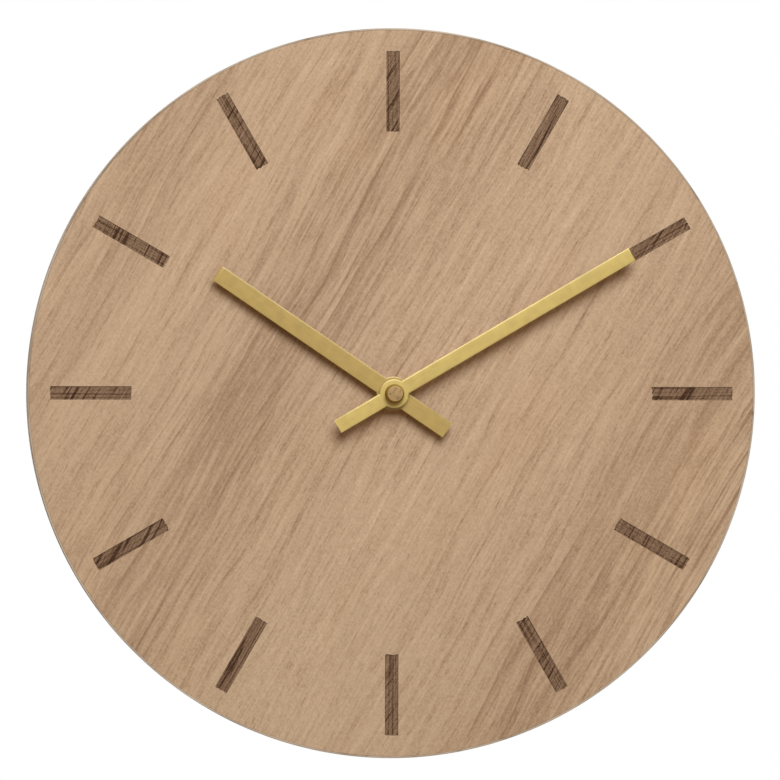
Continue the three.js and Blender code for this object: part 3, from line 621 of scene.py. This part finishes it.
# hands: flat bars with a round hub, drawn towards twelve and turned to the time shown
# both hands are one satin gold: the hour hand's colour is painted darker as shade and the minute hand's
# lighter as light
hourHand = {
    "node": "hour_hand", "body": "hour_shaft", "slot": "hour_gold", "angle": 304.2,
    "width": 7 * mm, "reach": 87.8 * mm, "tail": 26.9 * mm, "hub": 6.9 * mm, "bore": 2.7 * mm,
    "slopeWidth": 0.65 * mm, "slopeDrop": 0.18 * mm, "tipLength": 1.7 * mm, "tipDrop": 0.35 * mm, "boss": 0,
    "color": paint(186, 157, 90), "roughness": 0.26, "metallic": 0.08, "gloss": 0.27,
}
minuteHand = {
    "node": "minute_hand", "body": "minute_shaft", "slot": "minute_gold", "angle": 59.6,
    "width": 5.8 * mm, "reach": 113.4 * mm, "tail": 26.8 * mm, "hub": 5.9 * mm, "bore": 1.7 * mm,
    "slopeWidth": 0.6 * mm, "slopeDrop": 0.18 * mm, "tipLength": 0, "tipDrop": 0, "boss": 0.2 * mm,
    "color": paint(208, 182, 106), "roughness": 0.3, "metallic": 0.08, "gloss": 0.21,
}
# the walls of each hand's bore are painted dark as shade
boreShade = brushedFinish("boreShade", paint(92, 68, 38), 0.55, metallic=0.1, gloss=0.25)


def handOutline(hand):
    half, reach, tail, hub = hand["width"] / 2, hand["reach"], hand["tail"], hand["hub"]
    opened = math.degrees(math.asin(half / hub))  # where the bar runs out of the hub
    points = [(half, reach), (-half, reach)]
    points += arcPoints(0, 0, hub, 90 + opened, 270 - opened, steps=24)
    points += [(-half, -tail), (half, -tail)]
    points += arcPoints(0, 0, hub, opened - 90, 90 - opened, steps=24)
    return points


def buildHand(hand):
    back, front = depths(hand["node"])
    heart = back + 0.3 * mm  # inside the hand, under its sloped edges
    lean = -math.radians(hand["angle"])
    satin = brushedFinish(hand["slot"] + "Satin", hand["color"], hand["roughness"], (0, lean, 0),
                          metallic=hand["metallic"], gloss=hand["gloss"])
    bm = bmesh.new()
    base = bm.faces.new([bm.verts.new((x, y, back)) for x, y in handOutline(hand)])
    raiseFaces(bm, [base], front - back - hand["slopeDrop"])
    cleanUp(bm)
    crownFaces = [polygon for polygon in bm.faces if polygon.normal.z > 0.9]
    bmesh.ops.inset_region(bm, faces=crownFaces, thickness=hand["slopeWidth"], depth=hand["slopeDrop"],
                           use_even_offset=True, use_boundary=True)
    if hand["tipLength"]:
        line = hand["reach"] - hand["tipLength"]
        bmesh.ops.bisect_plane(bm, geom=bm.verts[:] + bm.edges[:] + bm.faces[:], plane_co=(0, line, 0),
                               plane_no=(0, 1, 0))
        for vert in bm.verts:
            if vert.co.y > line + tiny and vert.co.z > heart:
                vert.co.z -= hand["tipDrop"] * (vert.co.y - line) / hand["tipLength"]
    cleanUp(bm)
    thing = toObject(bm, hand["node"] + "_gold")
    giveFinishes(thing, [satin, boreShade])
    crown = front + hand["boss"]
    if hand["boss"]:
        hub, slope = hand["hub"], hand["slopeWidth"]
        profile = [(0, heart), (hub, heart), (hub, front), (hub - slope, crown), (0, crown)]
        combine(thing, lathePiece("boss", profile), "UNION")
    bore = postCutter("bore", hand["bore"], back - mm, crown + mm, steps=72)
    combine(thing, secondFinish(bore))
    thing.data.transform(hanging @ Matrix.Rotation(lean, 4, "Z"))
    mount(thing, hand["body"], [satin, boreShade], hand["node"])


buildHand(hourHand)
buildHand(minuteHand)
print("hands built")

# turned pin over the end of the minute shaft, its flank painted darker as shade and its rounded edge painted
# lighter as a highlight
pin = {
    "taper": 0.75 * mm, "taperDepth": 2.2 * mm, "round": 0.2 * mm,
    "roof": 1.2 * mm,  # metal above the bore
    "faced": {"color": paint(180, 145, 95), "turn": (0, 0.7, 0), "fine": (8000, 8000, 1400), "wear": 0.26,
              "roughness": 0.5, "metallic": 0.1, "gloss": 0.25},
    "turned": {"fine": (3000, 600, 3000), "wear": 0.1, "roughness": 0.5, "metallic": 0.0, "gloss": 0.0},
    # the flank's colour is painted shade and the rounded edge's colour a painted highlight
    "flankShadeColor": paint(176, 145, 78), "edgeHighlightColor": paint(226, 196, 122),
}
pinFinishes = [
    brushedFinish("pinFaced", **pin["faced"]),
    brushedFinish("pinFlankShade", pin["flankShadeColor"], **pin["turned"]),
    brushedFinish("pinEdgeHighlight", pin["edgeHighlightColor"], **pin["turned"]),
]


def capPin():
    back, front = depths("cap_pin")
    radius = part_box("cap_pin")[1].x
    bore, soft, roof = minuteHand["bore"], pin["round"], front - pin["roof"]
    lean = math.degrees(math.atan2(pin["taper"], pin["taperDepth"]))
    edge = arcPoints(radius - pin["taper"] - soft, front - soft, soft, lean, 90)
    shoulder = (radius, front - pin["taperDepth"])
    points = [(0, roof), (bore, roof), (bore, back), (radius, back), shoulder, *edge, (0, front)]
    thing = upright(lathePiece("brass_cap", points, 96))
    # the flank's finish carries painted shade and the rounded edge's finish a painted highlight
    for polygon in thing.data.polygons:  # 0 is the flat face, 1 the flank, 2 the rounded edge
        height = -polygon.center.y
        if height > front - tiny:
            polygon.material_index = 0
        else:
            polygon.material_index = 2 if height > front - soft else 1
    return thing


# hexagonal nut and the bush that it screws on to
nut = {
    "flats": 10.6 * mm,
    "chamferInset": 0.2 * mm, "chamferReach": 1.2 * mm, "chamferDrop": 0.7 * mm,
    "sink": 0.3 * mm,  # countersink at the mouth of the hole
}
bush = {
    "radius": 3.8 * mm, "bore": 2.7 * mm,
    "flange": 5.4 * mm, "flangeHeight": 0.6 * mm, "flangeChamfer": 0.15 * mm,
    "pitch": 0.75 * mm, "threadDepth": 0.22 * mm,
    "threadStart": 1 * mm,  # in front of the back of the disc
    "plainEnd": 0.4 * mm,  # the last ridge stays this far from the end
    "endEdge": 0.1 * mm, "endChamfer": 0.15 * mm,
}
brassFaced = facedFinish("brassFaced", paint(190, 156, 88), 0.34)


def hexNut():
    back, front = depths("centre_nut")
    half = nut["flats"] / 2
    bm = bmesh.new()
    bmesh.ops.create_circle(bm, cap_ends=True, radius=half / math.cos(math.pi / 6), segments=6)
    bmesh.ops.rotate(bm, cent=(0, 0, 0), matrix=Matrix.Rotation(math.pi / 2, 3, "Z"), verts=bm.verts)
    bmesh.ops.translate(bm, vec=(0, 0, back), verts=bm.verts)
    raiseFaces(bm, bm.faces[:], front - back)
    cleanUp(bm)
    thing = toObject(bm, "hex_nut")
    far, above, foot = 2 * half, front + mm, front - nut["chamferDrop"]
    slope = [(half - nut["chamferInset"], front), (half + nut["chamferReach"], foot)]
    combine(thing, lathePiece("trim", [(half, above), *slope, (far, foot), (far, above)], closed=True))
    bore, sink, over = face["holeRadius"], nut["sink"], 0.1 * mm
    mouth = [(bore, front - sink), (bore + sink + over, front + over), (0, front + over)]
    combine(thing, lathePiece("hole", [(0, back - mm), (bore, back - mm), *mouth]))
    return upright(thing)


def threadedBush():
    back, front = depths("threaded_bush")
    radius, bore, flange, chamfer = bush["radius"], bush["bore"], bush["flange"], bush["flangeChamfer"]
    shoulder = back + bush["flangeHeight"]
    points = [(bore, back), (flange - chamfer, back), (flange, back + chamfer), (flange, shoulder)]
    pitch, root = bush["pitch"], radius - bush["threadDepth"]
    height = depths("back_veneer")[0] + bush["threadStart"]
    points += [(radius, shoulder), (radius, height)]
    while height + pitch < front - bush["plainEnd"]:
        points += [(root, height + pitch / 2), (radius, height + pitch)]
        height += pitch
    points += [(root, front - bush["endEdge"]), (root - bush["endChamfer"], front), (bore, front)]
    return upright(lathePiece("screwed_bush", points, closed=True))


# washers between the disc and its clamp
washer = {"brassRound": 0.15 * mm, "rubberRound": 0.25 * mm, "rubberColor": paint(30, 30, 31)}


def rubberFinish():
    finish, tree, shader = newFinish("rubberGrip", Base_Color=washer["rubberColor"])
    speck = noise(tree, place(tree), scale=2200, detail=3)
    setSockets(tree, shader, Roughness=levels(tree, speck, 0.3, 0.7, 0.7, 0.9),
               Normal=bump(tree, speck, 0.4, 0.05 * mm))
    return finish


mount(capPin(), "minute_shaft", pinFinishes, "cap_pin")
mount(hexNut(), "clock_body", [brassFaced], "centre_nut")
mount(threadedBush(), "clock_body", [brassFaced], "threaded_bush")
brassWasher = softRing("brass_washer", "centre_washer", face["holeRadius"], washer["brassRound"])
mount(brassWasher, "clock_body", [brassFaced], "centre_washer")
rubberRing = softRing("rubber_ring", "rubber_washer", face["holeRadius"], washer["rubberRound"])
mount(rubberRing, "clock_body", [rubberFinish()], "rubber_washer")
print("fittings built")


# plastics and other plain stuffs: a fine moulded speckle in tone, gloss and surface
def speckFinish(name, color, roughness, scale=1800, depth=0.03 * mm, tint=0.12, metallic=0.0,
                stretch=(1, 1, 1)):
    finish, tree, shader = newFinish(name, Metallic=metallic)
    spot = squeeze(tree, place(tree), stretch)
    speck = noise(tree, spot, scale=scale, detail=3, roughness=0.6)
    clouds = noise(tree, spot, scale=scale / 12, detail=3)
    deep = dimmed(color, 1 - tint)
    tone = mixColor(tree, levels(tree, clouds, 0.35, 0.65), color, deep)
    tone = mixColor(tree, levels(tree, speck, 0.35, 0.75, 0, 0.7), tone, deep)
    setSockets(tree, shader, Base_Color=tone, Normal=bump(tree, speck, 0.3, depth),
               Roughness=levels(tree, speck, 0.25, 0.75, roughness - 0.08, roughness + 0.08))
    return finish


def windingFinish(name, color, scale=227.27):  # turns of wire laid side by side
    finish, tree, shader = newFinish(name, Metallic=1.0)
    spot = place(tree)
    turns = addNode(tree, "TexWave", {"Vector": spot, "Scale": scale, "Distortion": 0.4}).outputs["Fac"]
    clouds = noise(tree, spot, scale=900, detail=2)
    setSockets(tree, shader, Base_Color=mixColor(tree, turns, dimmed(color, 0.55), color),
               Roughness=levels(tree, clouds, 0.3, 0.7, 0.3, 0.45), Normal=bump(tree, turns, 0.6, 0.08 * mm))
    return finish


caseBlack = speckFinish("caseBlack", paint(43, 44, 46), 0.5)
markPale = speckFinish("markPale", paint(176, 176, 172), 0.6, scale=2600)
nylonIvory = speckFinish("nylonIvory", paint(226, 223, 212), 0.42, scale=1200, tint=0.07)
steelBrushed = brushedFinish("steelBrushed", paint(186, 188, 189), 0.34, fine=(2600, 2600, 90))
boardBrown = speckFinish("boardBrown", paint(158, 128, 96), 0.85, scale=900, depth=0.1 * mm, tint=0.3,
                         stretch=(1, 3, 1))
copperWire = windingFinish("copperWire", paint(184, 104, 62))
magnetGrey = speckFinish("magnetGrey", paint(92, 92, 95), 0.42, scale=2400, tint=0.3, metallic=0.8)
laminateGreen = speckFinish("laminateGreen", paint(52, 96, 66), 0.4, scale=1500, tint=0.25,
                            stretch=(1, 0.3, 1))
resinBlack = speckFinish("resinBlack", paint(24, 24, 25), 0.3, scale=700, depth=0.06 * mm)
print("other finishes ready")


# steel bracket folded from one strip, with a keyhole at the wall for the nail
bracket = {
    "sheet": 0.8 * mm,
    "bend": 1.6 * mm,  # radius at the middle of the sheet
    "caseGap": 0.3 * mm,  # between the shelf and the top of the case
    "cornerRound": 5 * mm,
    "nailHole": 4.5 * mm, "slotHalf": 2.3 * mm, "slotRise": 8 * mm, "holeBelowTop": 15 * mm,
    "edgeRound": 0.14 * mm,
}


def isFree(edge):  # the open end of the strip, not its sides
    return len(edge.link_faces) == 1 and abs(edge.verts[0].co.x - edge.verts[1].co.x) > mm


def drawOut(bm, edges, step):
    made = bmesh.ops.extrude_edge_only(bm, edges=edges)["geom"]
    bmesh.ops.translate(bm, vec=step, verts=newVerts(made))
    return [edge for edge in newEdges(made) if isFree(edge)]


def foldRound(bm, edges, centre, degrees):
    geometry = edges + [vert for edge in edges for vert in edge.verts]
    made = bmesh.ops.spin(bm, geom=geometry, cent=centre, axis=(1, 0, 0), angle=math.radians(degrees),
                          steps=8)
    return newEdges(made["geom_last"])


def slotCutter(name, half, bottom, top, back, front):
    bm = bmesh.new()
    for height in (bottom, top):
        for depth in (back, front):
            ring = bmesh.ops.create_circle(bm, radius=half, segments=32)["verts"]
            bmesh.ops.translate(bm, vec=(0, height, depth), verts=ring)
    bmesh.ops.convex_hull(bm, input=bm.verts)
    cleanUp(bm)
    return toObject(bm, name)


def meshCopy(mesh):  # merged, with one polygon for each flat
    bm = bmesh.new()
    bm.from_mesh(mesh)
    cleanUp(bm)
    bmesh.ops.dissolve_limit(bm, angle_limit=math.radians(1), verts=bm.verts, edges=bm.edges)
    return bm


def wallBracket():
    low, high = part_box("hanger_bracket")
    half, sheet, bend = high.x, bracket["sheet"], bracket["bend"]
    plate = -low.y - sheet / 2
    tab = -high.y + sheet / 2
    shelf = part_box("front_case")[1].z + bracket["caseGap"] + sheet / 2
    bm = bmesh.new()
    ends = [bm.verts.new((side * half, low.z, plate)) for side in (-1, 1)]
    edges = [bm.edges.new(ends)]
    edges = drawOut(bm, edges, (0, shelf - bend - low.z, 0))
    edges = foldRound(bm, edges, (0, shelf - bend, plate - bend), -90)
    edges = drawOut(bm, edges, (0, 0, tab - plate + 2 * bend))
    edges = foldRound(bm, edges, (0, shelf + bend, tab + bend), 90)
    drawOut(bm, edges, (0, high.z - shelf - bend, 0))
    cleanUp(bm)
    corners = [vert for vert in bm.verts if vert.co.y < low.z + tiny or vert.co.y > high.z - tiny]
    bmesh.ops.bevel(bm, geom=corners, offset=bracket["cornerRound"], segments=8, profile=0.5,
                    affect="VERTICES", material=-1)
    thing = toObject(bm, "wall_bracket")
    fold = thing.modifiers.new("sheet", "SOLIDIFY")
    fold.thickness = sheet
    fold.offset = 0
    fold.use_even_offset = True
    applyModifiers(thing)
    combine(thing, postCutter("bushHole", face["holeRadius"], plate - sheet, plate + sheet))
    nail = high.z - bracket["holeBelowTop"]
    combine(thing, postCutter("nailHole", bracket["nailHole"], tab - sheet, tab + sheet, (0, nail)))
    rise = nail + bracket["slotRise"]
    combine(thing, slotCutter("nailSlot", bracket["slotHalf"], nail, rise, tab - sheet, tab + sheet))
    bm = meshCopy(thing.data)
    roundEdges(bm, bracket["edgeRound"], segments=2, sharper=60)
    bm.to_mesh(thing.data)
    bm.free()
    return upright(thing)


mount(wallBracket(), "clock_body", [steelBrushed], "hanger_bracket")
print("bracket built")


# movement: softened copies of the moulded shells, with plain marks sunk into the cover
movement = {
    "caseRound": 0.5 * mm,
    "rimReach": 1.1 * mm,  # edges this near the outside belong to the rim
    "coverRound": 0.3 * mm,
    "knobRound": 0.15 * mm, "dishRadius": 3.1 * mm, "dishDepth": 0.35 * mm,
    "markDepth": 0.3 * mm,
    "markSize": 3.2 * mm, "markWidth": 0.8 * mm, "markRise": 3.4 * mm,
    "arrowReach": 6.6 * mm, "arrowWidth": 0.7 * mm, "arrowHead": 1.19 * mm, "arrowFrom": 25, "arrowTo": 135,
}


def cadCopy(node):
    return meshCopy(bpy.data.objects[node].data)


def atDepth(edge, depth):
    return all(abs(vert.co.y + depth) < tiny for vert in edge.verts)


def onRim(edge, low, high):  # along the outside of the shell, not round a hole in it
    middle = (edge.verts[0].co + edge.verts[1].co) / 2
    inset = min(middle.x - low.x, high.x - middle.x, middle.z - low.z, high.z - middle.z)
    return inset < movement["rimReach"]


def softShell(bm, name, rim, rounding, segments=3):
    roundEdges(bm, rounding, segments, sharper=60, edges=rim)
    cleanUp(bm)
    return toObject(bm, name)


def frontShell():
    low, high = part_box("front_case")
    bm = cadCopy("front_case")
    rim = [edge for edge in bm.edges if atDepth(edge, -low.y) and onRim(edge, low, high)]
    return softShell(bm, "case_shell", rim, movement["caseRound"])


def blockCutter(name, width, height, depth, across, rise):
    bm = bmesh.new()
    bmesh.ops.create_cube(bm, size=1)
    bmesh.ops.scale(bm, vec=(width, 2 * depth, height), verts=bm.verts)
    bmesh.ops.translate(bm, vec=(across, 0, rise), verts=bm.verts)
    return secondFinish(toObject(bm, name))


def arrowCutters(centre):  # a bent arrow round the setting knob
    reach, half, depth = movement["arrowReach"], movement["arrowWidth"] / 2, movement["markDepth"]
    start, end = math.radians(movement["arrowFrom"]), math.radians(movement["arrowTo"])
    bow = bmesh.new()
    corners = [(reach - half, -depth), (reach + half, -depth), (reach + half, depth), (reach - half, depth)]
    ring = [bow.verts.new((radius, 0, height)) for radius, height in corners]
    loop = [bow.edges.new(pair) for pair in zip(ring, ring[1:] + ring[:1])]
    bmesh.ops.rotate(bow, cent=(0, 0, 0), matrix=Matrix.Rotation(start, 3, "Z"), verts=ring)
    bmesh.ops.spin(bow, geom=ring + loop, cent=(0, 0, 0), axis=(0, 0, 1), angle=end - start, steps=24)
    bmesh.ops.holes_fill(bow, edges=bow.edges)
    head = bmesh.new()
    bmesh.ops.create_circle(head, cap_ends=True, radius=movement["arrowHead"], segments=3)
    bmesh.ops.translate(head, vec=(0, 0, -depth), verts=head.verts)
    raiseFaces(head, head.faces[:], 2 * depth)
    spot = Matrix.Rotation(end, 4, "Z") @ Matrix.Translation((reach, 0, 0))
    bmesh.ops.transform(head, matrix=spot, verts=head.verts)
    cutters = []
    for name, part in (("arrowBow", bow), ("arrowHead", head)):
        cleanUp(part)
        bmesh.ops.translate(part, vec=(centre.x, centre.z, 0), verts=part.verts)
        cutters.append(upright(secondFinish(toObject(part, name))))
    return cutters


def rearShell():
    bm = cadCopy("rear_cover")
    back = depths("rear_cover")[0]
    rim = [edge for edge in bm.edges if atDepth(edge, back)]
    thing = softShell(bm, "cover_shell", rim, movement["coverRound"])
    giveFinishes(thing, [caseBlack, markPale])
    cellLow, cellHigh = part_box("battery_cell")
    rise = cellHigh.z + movement["markRise"]
    size, width, depth = movement["markSize"], movement["markWidth"], movement["markDepth"]
    plus, minus = cellHigh.x - size, cellLow.x + size  # marks for the ends of the battery
    for across, wide, tall in ((plus, size, width), (plus, width, size), (minus, size, width)):
        combine(thing, blockCutter("mark", wide, tall, depth, across, rise))
    knobLow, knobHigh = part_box("set_knob")
    for cutter in arrowCutters((knobLow + knobHigh) / 2):
        combine(thing, cutter)
    return thing


def settingKnob():
    low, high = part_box("set_knob")
    back = depths("set_knob")[0]
    bm = cadCopy("set_knob")
    rim = [edge for edge in bm.edges if atDepth(edge, back)]
    thing = softShell(bm, "setting_knob", rim, movement["knobRound"], segments=2)
    middle = (low + high) / 2
    dish = postCutter("dish", movement["dishRadius"], back - mm, back + movement["dishDepth"],
                      (middle.x, middle.z))
    combine(thing, upright(dish))
    return thing


mount(frontShell(), "clock_body", [caseBlack], "front_case")
mount(rearShell(), "clock_body", [caseBlack, markPale], "rear_cover")
mount(settingKnob(), "set_shaft", [nylonIvory], "set_knob")
print("movement shells built")

# battery: a wrapped cell with bare steel ends
cell = {
    "edgeRound": 0.8 * mm, "edgeAngle": 75,
    "crimp": 0.35 * mm,  # depth of the groove inside the sleeve's edge
    "flatGroove": 6.4 * mm, "buttonGroove": 6.3 * mm,  # radius of the groove at either end
    "ringOuter": 6.1 * mm, "ringInner": 5.6 * mm, "dip": 0.3 * mm,  # raised ring on the flat end
    "button": 2.75 * mm, "buttonFoot": 3.25 * mm, "buttonHeight": 1 * mm, "buttonRound": 0.4 * mm,
    "bare": 6.35 * mm,  # steel inside this radius, sleeve outside
    "sleeveColor": paint(62, 74, 86),
}


def batteryPiece():
    low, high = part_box("battery_cell")
    length, radius = high.x - low.x, (high.z - low.z) / 2
    inner, dip, soft, button = cell["ringInner"], cell["dip"], cell["edgeRound"], cell["button"]
    shoulder, crown = length - cell["buttonHeight"], cell["buttonRound"]
    groove = shoulder - cell["crimp"]
    points = [(0, dip), (inner - 2 * dip, dip), (inner - dip, 0), (cell["ringOuter"], 0)]
    points.append((cell["flatGroove"], cell["crimp"]))
    points += arcPoints(radius - soft, soft, soft, -cell["edgeAngle"], 0)
    points += arcPoints(radius - soft, shoulder - soft, soft, 0, cell["edgeAngle"])
    points += [(cell["buttonGroove"], groove), (inner, groove), (cell["buttonFoot"], groove)]
    points += [(button, shoulder), *arcPoints(button - crown, length - crown, crown, 0, 90), (0, length)]
    thing = lathePiece("dry_cell", points)
    axis = Vector((low.x, (low.y + high.y) / 2, (low.z + high.z) / 2))
    thing.data.transform(Matrix.Translation(axis) @ Matrix.Rotation(math.pi / 2, 4, "Y"))
    for polygon in thing.data.polygons:
        away = polygon.center - axis
        polygon.material_index = 1 if math.hypot(away.y, away.z) < cell["bare"] else 0
    sleeve = speckFinish("cellSleeve", cell["sleeveColor"], 0.32, scale=500, depth=0.02 * mm,
                         stretch=(0.15, 1, 1))
    mount(thing, "battery", [sleeve, steelBrushed], "battery_cell")


batteryPiece()
print("battery built")

# shafts and contacts seen from outside, as smooth-shaded copies
smoothCopies = {
    "hour_wheel": ("hour_pipe_wheel", "hour_shaft", "brass", brassFaced),
    "minute_arbor": ("minute_post", "minute_shaft", "brass", brassFaced),
    "positive_contact": ("positive_strip", "clock_body", "steel", steelBrushed),
    "negative_contact": ("negative_leaf", "clock_body", "steel", steelBrushed),
}
for node, (name, body, slot, finish) in smoothCopies.items():
    mount(toObject(cadCopy(node), name), body, [finish], node)

# works that stay as modelled, with their finishes
works = {
    boardBrown: ["disc_core"],
    brassFaced: ["centre_wheel"],
    steelBrushed: ["stator", "coil_core", "quartz_crystal"],
    nylonIvory: ["train_plate", "coil_bobbin", "rotor_pinion", "intermediate_wheel", "second_wheel",
                 "third_wheel", "minute_wheel", "set_arbor"],
    copperWire: ["coil_winding"],
    magnetGrey: ["rotor_magnet"],
    laminateGreen: ["circuit_board"],
    resinBlack: ["clock_chip"],
}
for finish, names in works.items():
    for name in names:
        for slot in bpy.data.objects[name].material_slots:
            slot.material = finish
print("works finished")

# camera and light
view = {
    "side": -4.7,  # degrees round to the left
    "rise": 0.7,
    "roll": 0.13,
    "distance": 3.4,
    "frame": 320.5 * mm,  # width seen at the face
    "aim": (-0.97 * mm, 1.37 * mm),  # right and up from the middle of the face
}
light = {
    "key": {"side": 2.5, "rise": 30, "distance": 2.2, "size": 1.15, "power": 51.9, "color": (0.88, 0.94, 1)},
    "rear": {"rise": 30, "distance": 2.2, "size": 1.2, "power": 19, "color": (1, 1, 1)},
    "rearSides": (155, 205),  # degrees round, behind the clock
    "fill": (0.22, 0.147, 0.08, 1),
}
faceCentre = Vector((0, -depths("front_veneer")[1], 0))


def lookAt(thing, target):
    thing.rotation_euler = (Vector(target) - thing.location).to_track_quat("-Z", "Y").to_euler()


def around(side, rise, distance):  # degrees round and above the middle of the face
    side, rise = math.radians(side), math.radians(rise)
    away = Vector((math.sin(side) * math.cos(rise), -math.cos(side) * math.cos(rise), math.sin(rise)))
    return faceCentre + away * distance


def photoCamera():
    camera = bpy.data.objects.new("camera", bpy.data.cameras.new("camera"))
    scene.collection.objects.link(camera)
    camera.location = around(view["side"], view["rise"], view["distance"])
    right, up = view["aim"]
    lookAt(camera, faceCentre + Vector((right, 0, up)))
    camera.rotation_euler.rotate_axis("Z", math.radians(view["roll"]))
    camera.data.lens = camera.data.sensor_width * view["distance"] / view["frame"]
    camera.data.clip_end = 50
    scene.camera = camera


def softbox(name, side, rise, distance, size, power, color):
    lamp = bpy.data.lights.new(name, "AREA")
    lamp.shape = "SQUARE"
    lamp.size = size
    lamp.energy = power
    lamp.color = color
    thing = bpy.data.objects.new(name, lamp)
    scene.collection.objects.link(thing)
    thing.location = around(side, rise, distance)
    lookAt(thing, faceCentre)


photoCamera()
softbox("key", **light["key"])
for side in light["rearSides"]:
    softbox("rear", side, **light["rear"])

# pale floor under the clock, fading out before its edge
floor = {
    "drop": 170 * mm,  # below the lowest edge of the disc
    "radius": 0.6,
    "fade": (0.3, 0.588),  # metres from the middle
    "color": (0.93, 0.93, 0.92, 1),
}


def paleFloor():
    finish, tree, shader = newFinish("paleFloor", Base_Color=floor["color"], Specular_IOR_Level=0.1)
    spot = place(tree)
    fade = levels(tree, fromMiddle(tree, spot, (1, 1, 0)), *floor["fade"], 1, 0)
    above = work(tree, "SUBTRACT", 1.0, addNode(tree, "NewGeometry").outputs["Backfacing"])
    mottle = noise(tree, spot, scale=300, detail=3)
    setSockets(tree, shader, Alpha=work(tree, "MULTIPLY", fade, above),
               Roughness=levels(tree, mottle, 0.3, 0.7, 0.75, 0.9))
    bm = bmesh.new()
    bmesh.ops.create_circle(bm, cap_ends=True, radius=floor["radius"], segments=96)
    bmesh.ops.translate(bm, vec=(0, 0, cadBox[0][2] - floor["drop"]), verts=bm.verts)
    thing = toObject(bm, "pale_floor")
    giveFinishes(thing, [finish])
    thing.visible_diffuse = False  # its own bounce stays off the clock
    thing.visible_glossy = False


def whiteRoom():  # white to the camera and in reflections, a dim warm fill to everything else
    world = bpy.data.worlds.new("studio")
    scene.world = world
    world.use_nodes = True
    tree = world.node_tree
    rays = addNode(tree, "LightPath").outputs
    seen = work(tree, "MAXIMUM", rays["Is Camera Ray"], rays["Is Glossy Ray"])
    seen = work(tree, "MAXIMUM", seen, rays["Is Transmission Ray"])
    fill = addNode(tree, "Background", {"Color": light["fill"], "Strength": 1.0}).outputs[0]
    white = addNode(tree, "Background", {"Color": (1, 1, 1, 1), "Strength": 1.0}).outputs[0]
    either = addNode(tree, "MixShader", {0: seen, 1: fill, 2: white}).outputs[0]
    feed(tree, tree.nodes["World Output"].inputs["Surface"], either)


paleFloor()
whiteRoom()
print("camera and light set")
